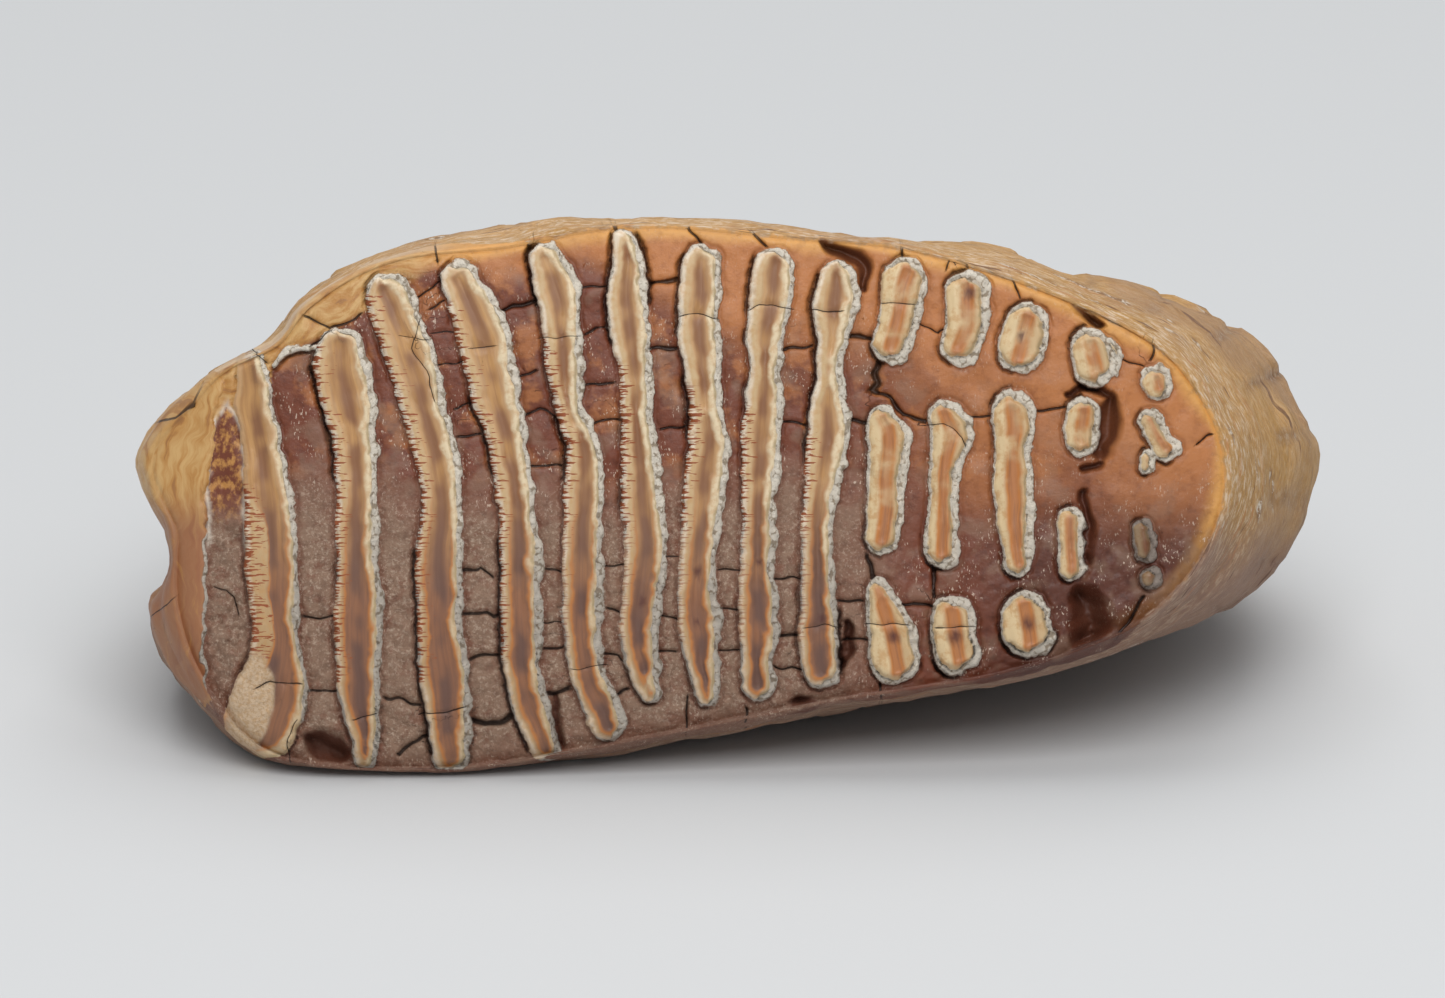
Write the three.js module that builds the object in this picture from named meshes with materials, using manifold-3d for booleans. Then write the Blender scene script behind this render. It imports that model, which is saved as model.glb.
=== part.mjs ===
// A whole molar of a woolly mammoth, resting on its side with the chewing face to the front.
// Millimetres, +Z up. The tooth is one grown piece: crown, ground plates and cement are one solid.
//
// It is shaped in the tooth's own frame, whose origin is the middle of the chewing face:
// x runs along the face to the right, y runs up the face, and z comes out of the face.
// A depth is a distance behind the face, so it counts down the z axis.
import * as THREE from 'three';
import { mergeVertices } from 'three/addons/utils/BufferGeometryUtils.js';
import Module from 'manifold-3d';

const wasm = await Module();
wasm.setup();

// How the tooth lies
const LEAN_BACK = THREE.MathUtils.degToRad(20); // the face is tipped back from upright
const FLOOR_BELOW_FACE = 57.6; // from the middle of the face down to the floor, along the face
const FLOOR_BLEND = 2; // half the height over which the underside flattens onto the floor

// The crown
const HALF_LENGTH = 117;
const HALF_WIDTH = 56;
const CROWN_DEPTH = 98; // from the chewing face to the broken root side, halfway along
const DEEPER_AT_BACK = 12; // the crown is this much deeper at its right end, and shallower at its left
const SIDES = 88; // facets around the crown, one for each half of a rib
const SIDE_DEPTHS = [-8, 0, 1.5, 4, 12, 24, 40, 56, 72, 88, 104, 124]; // rows of the crown's sides
const RIM_ROUNDING = 0.8; // how far the edge of the face is drawn in
const RIM_ROUNDING_DEPTH = 2;
const MOST_TAPER = 1.2; // the taper to the root side goes on this far past its outline
const RIB_HEIGHT = 1.3; // each plate shows as a rounded rib on the crown's sides
const RIB_STARTS = 10; // depth at which the ribs begin to stand out
const RIB_FULL = 50;
const RIB_FADE_AT_ENDS = 1.3; // the ribs sink away towards both ends of the tooth
const LEAST_WIDEST_DEPTH = 12; // depth of the widest place where the side hardly bulges
const MOST_WIDEST_DEPTH = 56;
const DEEPER_PER_BULGE = 2.4; // how much deeper the widest place is for each millimetre of bulge
const RIB_PITCH = 13.5;
const ROOT_RIDGE_HEIGHT = 2;
const ROOT_DOME = 7; // the root side is this much deeper in its middle than at its edge
const PLATE_SLANT = 0.1; // the plates lean to the left with depth, in radians around the crown

// The chewing face
const FACE_FALLS = { // towards each edge: [where the fall starts, its run, how far it falls back]
  left: [78, 38, 9],
  right: [72, 30, 3],
  lower: [12, 42, 6],
  upper: [22, 32, 2.5],
};
const ENAMEL_HEIGHT = 1.5; // enamel stands this far out of the cement
const ENAMEL_WIDTH = 1.9;
const DENTINE_HEIGHT = 0.6; // dentine is worn to this level inside the enamel
const CRACK_DEPTH = 2.4;
const FACE_COLUMNS = 38; // facets along the face, two for each plate
const FACE_ROWS = 6;
const SLAB_MARGIN = 1.3; // the slab between face and root side is wider than the crown by this
const THROUGH_FACE = 16; // how far the prisms that cut the face reach to either side of it
const PIT_SIDES = 10;
const PIT_RINGS = 6;
const SPINE_STEPS_PER_POINT = 1.35;
const SAME_POINT = 1e-4; // corners closer than this are one

// Edge of the worn face, clockwise from the left end
const FACE_EDGE = [
  [-113.5, 8.5], [-105.5, 18.5], [-98.5, 25.5], [-89, 30], [-82, 38], [-64.5, 47.5], [-44, 50],
  [-22.5, 54], [14.5, 52], [34.5, 50], [54, 44.5], [69.5, 38.5], [85.5, 30], [95, 18.5], [99, 6],
  [98, -3], [91, -16], [81.5, -24.5], [58, -33.5], [18.5, -40.5], [-24.5, -49], [-58, -53.5],
  [-89, -50.5], [-101, -39], [-108.5, -22], [-109, -7],
];

// Outline of the crown where it is widest
const WIDEST_EDGE = [
  [-116.5, 8.5], [-111, 17.5], [-102, 24], [-90.5, 31], [-83.5, 39], [-65.5, 49], [-44, 53.5],
  [-22.5, 55.5], [14.5, 53.5], [34.5, 51], [51, 50.5], [67.5, 45], [85, 41], [97, 36.5],
  [106.5, 30], [112.5, 19.5], [117.5, 10.5], [116, -1], [112, -9.5], [97.5, -22], [85.5, -27],
  [58, -35], [18.5, -42], [-24.5, -50.5], [-58, -55], [-89, -52], [-103, -40.5], [-113, -22],
  [-110, -13.5], [-111, -7],
];

// Outline of the root side
const ROOT_EDGE = [
  [-98, 8], [-92, 24], [-78, 34], [-50, 41], [-10, 44], [30, 42], [65, 36], [90, 27], [105, 10],
  [104, -4], [95, -14], [70, -24], [30, -32], [-20, -38], [-60, -40], [-88, -34], [-98, -18],
];

// Each plate is a spine of points [x, y, half width], from its top end to its bottom end
const FRONT_LIMB = [
  [-103.5, 22, 4.7], [-110, 13, 9.8], [-112.5, 3.5, 11], [-113.5, -8, 11.4], [-113, -20, 10.8],
  [-111, -29.5, 8.8], [-108.5, -37.5, 6.5],
];
const PLATES = [
  [[-93, 27.5, 2.6], [-92.4, 22, 3.7], [-91.7, 15, 4], [-90.4, 7, 4.3], [-89.5, -2, 4.7],
    [-89, -11, 5.1], [-88.5, -21, 4.9], [-88, -28.5, 4.9], [-89, -37.5, 7.1], [-91, -43.5, 7.5]],
  [[-75.5, 29, 4.7], [-75, 23.5, 5.7], [-73.5, 17.5, 5.3], [-72.5, 9.5, 4.3], [-72, -12, 4.3],
    [-72, -23.5, 4.9], [-71.5, -39.5, 4.1], [-70.5, -47.5, 2.9], [-70.5, -51.5, 2.4]],
  [[-66, 40, 4.5], [-63.5, 33, 5.1], [-61, 25.5, 5.1], [-59, 17.5, 4.3], [-57, 9.5, 4.5],
    [-55.5, 0, 4.1], [-56, -12, 4.7], [-56, -23.5, 4.5], [-55, -35.5, 4.9], [-54, -50.5, 3.7]],
  [[-52, 43, 3.9], [-48.5, 35, 5.1], [-46.5, 27.5, 5.1], [-45, 19.5, 4.7], [-42.5, 11.5, 3.9],
    [-40.5, -4, 3.7], [-40, -16, 4], [-40, -27.5, 4], [-39, -37.5, 3.7], [-35.5, -49, 2.9]],
  [[-35, 47, 3.7], [-32.5, 39, 4.3], [-32, 31, 3.9], [-30.5, 17.5, 2.9], [-28.5, 12.5, 3.1],
    [-27.5, 6.5, 3.7], [-28, -14, 4.1], [-27.5, -31.5, 3.7], [-23, -44, 3.5]],
  [[-19.5, 51, 2.4], [-19, 45, 3.3], [-19, 37, 4.1], [-17.5, 21.5, 3.3], [-17, 13.5, 3.5],
    [-16, -2, 4.3], [-15.5, -11, 4.1], [-16.5, -20, 3.7], [-17, -28.5, 3.7], [-14.5, -38, 2.2]],
  [[-4.5, 46.5, 3.7], [-5, 33, 4.3], [-4, 19.5, 3.1], [-3, 11.5, 4.1], [-4, 3.5, 4.3],
    [-5.5, -16, 3.5], [-5, -25.5, 4.1], [-3.5, -38.5, 2.5]],
  [[9.5, 45.5, 4.1], [9, 39, 4.5], [7.5, 24.5, 3.1], [7.5, 19.5, 3.9], [7, 6.5, 3.7],
    [6.5, -12, 3.3], [6.5, -22, 3.9], [6.5, -36.5, 3.1]],
  [[22, 43.5, 3.7], [21.5, 38, 4.3], [20.5, 25.5, 2.5], [20.5, 14.5, 4.1], [18.5, -2, 3.3],
    [18, -12, 3.3], [18.5, -27.5, 4.1], [19, -33.5, 3.9]],
];

// Behind the long plates each plate is ground only as far as its separate pillars
const PILLARS = [
  [[35.5, 43, 4.5], [34, 35, 4.1], [32.5, 30, 3.7]],
  [[31, 16, 2.9], [32, 11.5, 4.1], [31.5, 3.5, 3.7], [31, -7.5, 3.7]],
  [[30, -18, 2.4], [32, -24, 4.3], [33.5, -31.5, 5.1]],
  [[47.5, 40.5, 4.5], [47.5, 34.5, 4.5], [46, 30, 3.9]],
  [[43.5, 16, 3.7], [44.5, 12.5, 4.5], [43, 6, 3.3], [42.5, -10, 3.5]],
  [[44.5, -23, 4.1], [45.5, -30, 4.7]],
  [[59.5, 34.5, 4.3], [58, 29, 4.7]],
  [[56.5, 17, 4.5], [56.5, 9.5, 3.7], [56.5, 0, 3.9], [57.5, -12.5, 2.9]],
  [[59, -23, 4.9], [59.5, -26.5, 4.9]],
  [[71.5, 30, 3.9], [72.5, 26, 4.3]],
  [[70, 16.5, 3.7], [70, 11.5, 3.5]],
  [[68, -4, 2.7], [68, -13.5, 2.7]],
  [[84.5, 23.5, 3.1], [85, 22, 2.9]],
  [[83.5, 15.5, 2.4], [86.5, 10, 2.7]],
  [[82, -6, 2.2], [82.5, -10, 2.4]],
];

// Cracks in the cement: [width, points along the crack]
const CRACKS = [
  [1.4, [[-17, 42.5], [-9, 42]]],
  [1.6, [[23, 32], [30, 30.5]]],
  [1.8, [[31, 26], [29, 21], [34, 15.5], [41, 16]]],
  [1.2, [[-44, 37.5], [-38, 38.5]]],
  [1.2, [[-28, 32.5], [-23.5, 33]]],
  [1.2, [[-28, 22.5], [-22, 23]]],
  [1.2, [[-28, 15], [-21.5, 15.5]]],
  [1.2, [[-15.5, 29], [-9.5, 29]]],
  [1.2, [[11.5, 29.5], [16.5, 29.5]]],
  [1.2, [[62, 18], [67, 18]]],
  [1.2, [[-65.5, -39], [-59, -39.5]]],
  [1.6, [[-59, -46], [-52, -43.5], [-42, -44]]],
  [1.4, [[-52, -38], [-44, -38]]],
  [1.2, [[-51, -23], [-44, -22.5]]],
  [1.2, [[-65, -22], [-60, -23]]],
  [1.2, [[-23.5, -23], [-20.5, -24]]],
  [1.4, [[11, -26.5], [15, -26.5]]],
  [1.2, [[81.5, -20], [78, -26]]],
  [1.6, [[28.5, -12], [28, -15], [34, -20.5]]],
];

// Pits left by broken pillars and lost cement: [x, y, half width, half height, depth]
const PITS = [
  [26, 48.5, 4, 3, 5], [24, -28, 1.6, 5, 5], [16, -40.5, 2.6, 2.6, 6], [75, 14.5, 2.4, 5.5, 5],
  [71.5, -24, 4.2, 6, 7], [71, 36, 3, 3.5, 4], [-79, -49, 4.5, 4, 6], [-110.5, -19.5, 2.2, 4.5, 4],
];

// Reach of a closed outline around an ellipse of the crown's length and width, as a smooth ring
function ringOf(outline) {
  const knots = outline
    .map(([x, y]) => [x / HALF_LENGTH, y / HALF_WIDTH])
    .map(([x, y]) => ({ turn: Math.atan2(y, x), reach: Math.hypot(x, y) }))
    .sort((a, b) => a.turn - b.turn);
  const fullTurn = 2 * Math.PI;
  const before = knots.slice(-2).map(({ turn, reach }) => ({ turn: turn - fullTurn, reach }));
  const after = knots.slice(0, 2).map(({ turn, reach }) => ({ turn: turn + fullTurn, reach }));
  const around = [...before, ...knots, ...after];
  const turns = around.map((knot) => knot.turn);
  const reaches = around.map((knot) => knot.reach);
  const curve = new THREE.CubicInterpolant(turns, reaches, 1);
  return (turn) => curve.evaluate(Math.atan2(Math.sin(turn), Math.cos(turn)))[0];
}

const faceRing = ringOf(FACE_EDGE);
const widestRing = ringOf(WIDEST_EDGE);
const rootRing = ringOf(ROOT_EDGE);

// How far the worn face falls back from a flat one: at both ends, and more along its lower edge
function faceDepth(x, y) {
  const fall = (place, [start, run, depth]) => (
    depth * THREE.MathUtils.clamp((place - start) / run, 0, 1) ** 2
  );
  return fall(-x, FACE_FALLS.left) + fall(x, FACE_FALLS.right)
    + fall(-y, FACE_FALLS.lower) + fall(y, FACE_FALLS.upper);
}

// How deep the root side lies: it is domed, and each plate ends in a ridge across it
function rootDepth(x, y) {
  const middle = Math.max(0, 1 - (x / HALF_LENGTH) ** 2 - (y / HALF_WIDTH) ** 2);
  const ridge = ROOT_RIDGE_HEIGHT * Math.cos((2 * Math.PI * x) / RIB_PITCH);
  return CROWN_DEPTH + DEEPER_AT_BACK * (x / HALF_LENGTH) + middle * (ROOT_DOME + ridge);
}

// Keeps the tooth on the floor: what would sink through it is flattened onto it
function restOnFloor(point) {
  const up = new THREE.Vector3(0, Math.cos(LEAN_BACK), Math.sin(LEAN_BACK));
  const height = point.dot(up) + FLOOR_BELOW_FACE * up.y;
  if (height >= FLOOR_BLEND) return;
  const settled = height <= -FLOOR_BLEND ? 0 : (height + FLOOR_BLEND) ** 2 / (4 * FLOOR_BLEND);
  point.addScaledVector(up, settled - height);
}

// Angles that divide the crown's ellipse into equal lengths
function evenTurns(count) {
  const ellipse = new THREE.EllipseCurve(0, 0, HALF_LENGTH, HALF_WIDTH);
  return ellipse.getSpacedPoints(count).map(({ x, y }) => Math.atan2(y / HALF_WIDTH, x / HALF_LENGTH));
}

// A point of the crown's side, at a turn around it and a depth behind the face's edge
function sidePoint(turn, depth, rib) {
  const edge = faceRing(turn);
  const widest = Math.max(widestRing(turn), edge);
  const span = new THREE.Vector2(HALF_LENGTH * Math.cos(turn), HALF_WIDTH * Math.sin(turn));
  const bulge = (widest - edge) * span.length();
  const widestDepth = Math.min(LEAST_WIDEST_DEPTH + DEEPER_PER_BULGE * bulge, MOST_WIDEST_DEPTH);
  let reach = edge;
  if (depth > widestDepth) {
    const toRoot = (depth - widestDepth) / (CROWN_DEPTH - widestDepth);
    reach = widest + (rootRing(turn) - widest) * Math.min(toRoot, MOST_TAPER) ** 2;
  } else if (depth > 0) {
    reach = edge + (widest - edge) * Math.sin((Math.PI / 2) * (depth / widestDepth));
  }
  const fromRim = THREE.MathUtils.clamp(depth / RIM_ROUNDING_DEPTH, 0, 1);
  const rounding = RIM_ROUNDING * (1 - fromRim) ** 2;
  const offTheEnds = Math.min(1, RIB_FADE_AT_ENDS * Math.abs(Math.sin(turn)));
  const ribFade = THREE.MathUtils.smoothstep(depth, RIB_STARTS, RIB_FULL) * offTheEnds;
  const outward = rib * RIB_HEIGHT * ribFade - rounding;
  const edgePoint = span.clone().multiplyScalar(edge);
  const place = span.multiplyScalar(reach);
  place.setLength(place.length() + outward);
  const behindFace = faceDepth(edgePoint.x, edgePoint.y) * (1 - Math.max(depth, 0) / CROWN_DEPTH);
  return new THREE.Vector3(place.x, place.y, -depth - behindFace);
}

// The crown's sides as one closed form, from in front of the face to behind the root side
function crownSides() {
  const lastRow = SIDE_DEPTHS.length - 1;
  const turns = evenTurns(SIDES);
  const geometry = new THREE.CylinderGeometry(1, 1, 1, SIDES, lastRow);
  const places = geometry.attributes.position;
  for (let index = 0; index < places.count; index += 1) {
    const row = Math.round((0.5 - places.getY(index)) * lastRow);
    const fromAxis = Math.hypot(places.getX(index), places.getZ(index));
    const angle = Math.atan2(places.getX(index), places.getZ(index));
    const step = Math.round((angle / (2 * Math.PI)) * SIDES + SIDES) % SIDES;
    const rib = step % 2 === 0 ? 1 : -1;
    const slant = PLATE_SLANT * (SIDE_DEPTHS[row] / CROWN_DEPTH) * Math.sin(turns[step]);
    const point = sidePoint(turns[step] + slant, SIDE_DEPTHS[row], rib);
    if (fromAxis < 0.5) point.set(0, 0, point.z);
    restOnFloor(point);
    places.setXYZ(index, point.x, point.y, point.z);
  }
  return solidOf(geometry);
}

// A slab between the chewing face, raised by lift, and the ridged root side
function slab(lift) {
  const length = (FACE_COLUMNS * RIB_PITCH) / 2;
  const width = 2 * SLAB_MARGIN * HALF_WIDTH;
  const geometry = new THREE.BoxGeometry(length, width, 1, FACE_COLUMNS, FACE_ROWS, 1);
  const places = geometry.attributes.position;
  for (let index = 0; index < places.count; index += 1) {
    const x = places.getX(index);
    const y = places.getY(index);
    const isFace = places.getZ(index) > 0;
    places.setZ(index, isFace ? lift - faceDepth(x, y) : -rootDepth(x, y));
  }
  return solidOf(geometry);
}

// Closed outline around a spine of [x, y, half width], drawn in or out by grow
function outlineAround(spine, grow) {
  const curve = new THREE.CatmullRomCurve3(spine.map(([x, y, half]) => new THREE.Vector3(x, y, half)));
  const steps = Math.ceil(spine.length * SPINE_STEPS_PER_POINT);
  const right = [];
  const left = [];
  for (let step = 0; step <= steps; step += 1) {
    const { x, y, z: half } = curve.getPointAt(step / steps);
    const along = curve.getTangentAt(step / steps).setZ(0).normalize();
    const across = new THREE.Vector2(along.y, -along.x).multiplyScalar(half + grow);
    right.push(new THREE.Vector2(x + across.x, y + across.y));
    left.push(new THREE.Vector2(x - across.x, y - across.y));
  }
  const bottomTip = endCap(curve.getPointAt(1), curve.getTangentAt(1), grow);
  const topTip = endCap(curve.getPointAt(0), curve.getTangentAt(0).negate(), grow);
  return [...right, ...bottomTip.reverse(), ...left.reverse(), ...topTip.reverse()];
}

// Three points of the round end past a spine's last point
function endCap(end, outward, grow) {
  const heading = Math.atan2(outward.y, outward.x);
  const half = end.z + grow;
  return [-1, 0, 1].map((side) => {
    const angle = heading + (side * Math.PI) / 4;
    return new THREE.Vector2(end.x + half * Math.cos(angle), end.y + half * Math.sin(angle));
  }).reverse();
}

// Closed outline of a crack, pointed at both ends
function crackOutline(width, points) {
  const curve = new THREE.CatmullRomCurve3(points.map(([x, y]) => new THREE.Vector3(x, y, 0)));
  const steps = 2 * points.length;
  const above = [];
  const below = [];
  for (let step = 1; step < steps; step += 1) {
    const { x, y } = curve.getPointAt(step / steps);
    const along = curve.getTangentAt(step / steps);
    const across = new THREE.Vector2(-along.y, along.x).multiplyScalar(width / 2);
    above.push(new THREE.Vector2(x + across.x, y + across.y));
    below.push(new THREE.Vector2(x - across.x, y - across.y));
  }
  const [start, end] = [curve.getPointAt(0), curve.getPointAt(1)];
  return [new THREE.Vector2(start.x, start.y), ...above, new THREE.Vector2(end.x, end.y),
    ...below.reverse()];
}

// A prism of an outline, from well behind the face to well in front of it
function prismOf(outline) {
  const geometry = new THREE.ExtrudeGeometry(new THREE.Shape(outline), {
    depth: 2 * THROUGH_FACE, bevelEnabled: false, steps: 1,
  });
  return solidOf(geometry.translate(0, 0, -THROUGH_FACE));
}

function pit([x, y, halfWidth, halfHeight, depth]) {
  const geometry = new THREE.SphereGeometry(1, PIT_SIDES, PIT_RINGS).scale(halfWidth, halfHeight, depth);
  return solidOf(geometry.translate(x, y, -faceDepth(x, y)));
}

function solidOf(geometry) {
  const bare = geometry.clone();
  bare.deleteAttribute('normal');
  bare.deleteAttribute('uv');
  const merged = mergeVertices(bare, SAME_POINT);
  return new wasm.Manifold(new wasm.Mesh({
    numProp: 3,
    vertProperties: new Float32Array(merged.attributes.position.array),
    triVerts: new Uint32Array(merged.index.array),
  }));
}

function geometryOf(solid) {
  const { vertProperties, triVerts } = solid.getMesh();
  const geometry = new THREE.BufferGeometry();
  geometry.setAttribute('position', new THREE.BufferAttribute(vertProperties, 3));
  geometry.setIndex(new THREE.BufferAttribute(triVerts, 1));
  geometry.computeVertexNormals();
  return geometry;
}

function joined(solids) {
  return solids.reduce((all, solid) => all.add(solid));
}

// The tooth: crown, enamel standing out of the cement, dentine worn hollow, cracks and pits
function molarSolid() {
  const sides = crownSides();
  const rings = [FRONT_LIMB, ...PLATES, ...PILLARS];
  const raised = joined(rings.map((spine) => prismOf(outlineAround(spine, 0))));
  const enamel = raised.intersect(slab(ENAMEL_HEIGHT)).intersect(sides);
  const hollows = joined(rings.map((spine) => prismOf(outlineAround(spine, -ENAMEL_WIDTH))));
  const dentine = hollows.subtract(slab(DENTINE_HEIGHT));
  const cracks = joined(CRACKS.map(([width, points]) => prismOf(crackOutline(width, points))));
  const openCracks = cracks.subtract(slab(-CRACK_DEPTH));
  return sides.intersect(slab(0)).add(enamel).subtract(dentine).subtract(openCracks)
    .subtract(joined(PITS.map(pit)));
}

const molar = new THREE.Mesh(
  geometryOf(molarSolid()),
  new THREE.MeshStandardMaterial({ color: 0xb8834c, roughness: 0.55, metalness: 0 }),
);
molar.name = 'molar';
molar.rotation.x = Math.PI / 2 - LEAN_BACK;

// The origin is under the middle of the tooth, on the floor
const tooth = new THREE.Group();
tooth.add(molar);
const reach = new THREE.Box3().setFromObject(tooth, true);
const middle = reach.getCenter(new THREE.Vector3());
molar.position.set(-middle.x, -middle.y, -reach.min.z);

export default tooth;
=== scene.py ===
import math
from types import SimpleNamespace

import bpy
import numpy as np
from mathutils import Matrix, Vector, kdtree


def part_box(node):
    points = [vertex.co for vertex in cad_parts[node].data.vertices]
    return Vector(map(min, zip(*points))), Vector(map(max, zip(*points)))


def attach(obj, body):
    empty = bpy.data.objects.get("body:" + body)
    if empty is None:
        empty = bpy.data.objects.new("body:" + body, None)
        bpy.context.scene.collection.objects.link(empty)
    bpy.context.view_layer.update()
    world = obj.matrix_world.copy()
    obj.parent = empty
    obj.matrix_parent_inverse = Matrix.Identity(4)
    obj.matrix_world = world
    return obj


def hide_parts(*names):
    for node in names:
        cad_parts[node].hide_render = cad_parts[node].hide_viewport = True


bl_info = {
    "name": "Mammoth molar",
    "version": (1, 0, 0),
    "blender": (4, 5, 0),
    "location": "3D Viewport > Sidebar > Molar",
    "description": "A woolly mammoth's molar lying on its side, with its worn chewing face to the front",
    "category": "Object",
}

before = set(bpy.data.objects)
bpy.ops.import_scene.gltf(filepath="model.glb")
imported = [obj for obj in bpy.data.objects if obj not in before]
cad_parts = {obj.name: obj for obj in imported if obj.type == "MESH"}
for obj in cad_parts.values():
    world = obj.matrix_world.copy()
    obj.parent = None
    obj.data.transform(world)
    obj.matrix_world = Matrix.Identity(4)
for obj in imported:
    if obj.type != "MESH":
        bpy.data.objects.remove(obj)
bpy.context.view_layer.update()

# Lengths are millimetres in the tooth's own frame, whose origin is the middle of the chewing face:
# x runs along the face to the right, y runs up the face, and z comes out of the face.
# A depth is a distance behind the face, so it counts down the z axis.
MM = 0.001
TURN = 2 * math.pi

# How the tooth lies, and the turn about the x axis that stands its face up
LEAN_BACK = math.radians(20)
FACE_TILT = math.pi / 2 - LEAN_BACK
FLOOR_BELOW_FACE = 57.6
FLOOR_BLEND = 2.0

# The crown
HALF_LENGTH = 117.0
HALF_WIDTH = 56.0
CROWN_DEPTH = 98.0
DEEPER_AT_BACK = 12.0
SHALLOWEST_BULGE = 12
DEEPEST_BULGE = 56
EDGE_ROUNDING = 0.8
HALF_RIBS = 88
RIB_HEIGHT = 1.3
RIB_PITCH = 13.5
PLATE_SLANT = 0.1
ROOT_DOME = 7
ROOT_RIDGE = 2

# How far the colours of the face run over onto the side, and how much further at the left end
FACE_RUNS_OVER = 8
FURTHER_AT_LEFT = 12

# The block that the tooth is made from: its size, how near a point has to be to its rim or to its
# ends to count as on them, and how its side rows crowd towards the face
BLANK_SIZE = 2
RIM_SLACK = 1e-5
END_SLACK = 1e-4
ROW_CROWDING = 1.15

# Edge of the worn face, clockwise from the left end
FACE_EDGE = (
    (-113.5, 8.5), (-105.5, 18.5), (-98.5, 25.5), (-89, 30), (-82, 38), (-64.5, 47.5), (-44, 50),
    (-22.5, 54), (14.5, 52), (34.5, 50), (54, 44.5), (69.5, 38.5), (85.5, 30), (95, 18.5), (99, 6),
    (98, -3), (91, -16), (81.5, -24.5), (58, -33.5), (18.5, -40.5), (-24.5, -49), (-58, -53.5),
    (-89, -50.5), (-101, -39), (-108.5, -22), (-109, -7),
)

# Outline of the crown where it is widest
WIDEST_EDGE = (
    (-116.5, 8.5), (-111, 17.5), (-102, 24), (-90.5, 31), (-83.5, 39), (-65.5, 49), (-44, 53.5),
    (-22.5, 55.5), (14.5, 53.5), (34.5, 51), (51, 50.5), (67.5, 45), (85, 41), (97, 36.5),
    (106.5, 30), (112.5, 19.5), (117.5, 10.5), (116, -1), (112, -9.5), (97.5, -22), (85.5, -27),
    (58, -35), (18.5, -42), (-24.5, -50.5), (-58, -55), (-89, -52), (-103, -40.5), (-113, -22),
    (-110, -13.5), (-111, -7),
)

# Outline of the root side
ROOT_EDGE = (
    (-98, 8), (-92, 24), (-78, 34), (-50, 41), (-10, 44), (30, 42), (65, 36), (90, 27), (105, 10),
    (104, -4), (95, -14), (70, -24), (30, -32), (-20, -38), (-60, -40), (-88, -34), (-98, -18),
)

# How the face falls back towards each edge: where the fall starts, its run, how far it falls
FACE_FALLS = {"left": (78, 38, 9), "right": (72, 30, 3), "lower": (12, 42, 6), "upper": (22, 32, 2.5)}

# Each plate is a spine of points (x, y, half width), from its top end to its bottom end
FRONT_LIMB = (
    (-103.5, 22, 4.7), (-110, 13, 9.8), (-112.5, 3.5, 11), (-113.5, -8, 11.4), (-113, -20, 10.8),
    (-111, -29.5, 8.8), (-108.5, -37.5, 6.5),
)
PLATES = (
    ((-93, 27.5, 2.6), (-92.4, 22, 3.7), (-91.7, 15, 4), (-90.4, 7, 4.3), (-89.5, -2, 4.7),
     (-89, -11, 5.1), (-88.5, -21, 4.9), (-88, -28.5, 4.9), (-89, -37.5, 7.1), (-91, -43.5, 7.5)),
    ((-75.5, 29, 4.7), (-75, 23.5, 5.7), (-73.5, 17.5, 5.3), (-72.5, 9.5, 4.3), (-72, -12, 4.3),
     (-72, -23.5, 4.9), (-71.5, -39.5, 4.1), (-70.5, -47.5, 2.9), (-70.5, -51.5, 2.4)),
    ((-66, 40, 4.5), (-63.5, 33, 5.1), (-61, 25.5, 5.1), (-59, 17.5, 4.3), (-57, 9.5, 4.5),
     (-55.5, 0, 4.1), (-56, -12, 4.7), (-56, -23.5, 4.5), (-55, -35.5, 4.9), (-54, -50.5, 3.7)),
    ((-52, 43, 3.9), (-48.5, 35, 5.1), (-46.5, 27.5, 5.1), (-45, 19.5, 4.7), (-42.5, 11.5, 3.9),
     (-40.5, -4, 3.7), (-40, -16, 4), (-40, -27.5, 4), (-39, -37.5, 3.7), (-35.5, -49, 2.9)),
    ((-35, 47, 3.7), (-32.5, 39, 4.3), (-32, 31, 3.9), (-30.5, 17.5, 2.9), (-28.5, 12.5, 3.1),
     (-27.5, 6.5, 3.7), (-28, -14, 4.1), (-27.5, -31.5, 3.7), (-23, -44, 3.5)),
    ((-19.5, 51, 2.4), (-19, 45, 3.3), (-19, 37, 4.1), (-17.5, 21.5, 3.3), (-17, 13.5, 3.5),
     (-16, -2, 4.3), (-15.5, -11, 4.1), (-16.5, -20, 3.7), (-17, -28.5, 3.7), (-14.5, -38, 2.2)),
    ((-4.5, 46.5, 3.7), (-5, 33, 4.3), (-4, 19.5, 3.1), (-3, 11.5, 4.1), (-4, 3.5, 4.3),
     (-5.5, -16, 3.5), (-5, -25.5, 4.1), (-3.5, -38.5, 2.5)),
    ((9.5, 45.5, 4.1), (9, 39, 4.5), (7.5, 24.5, 3.1), (7.5, 19.5, 3.9), (7, 6.5, 3.7),
     (6.5, -12, 3.3), (6.5, -22, 3.9), (6.5, -36.5, 3.1)),
    ((22, 43.5, 3.7), (21.5, 38, 4.3), (20.5, 25.5, 2.5), (20.5, 14.5, 4.1), (18.5, -2, 3.3),
     (18, -12, 3.3), (18.5, -27.5, 4.1), (19, -33.5, 3.9)),
)

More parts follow.
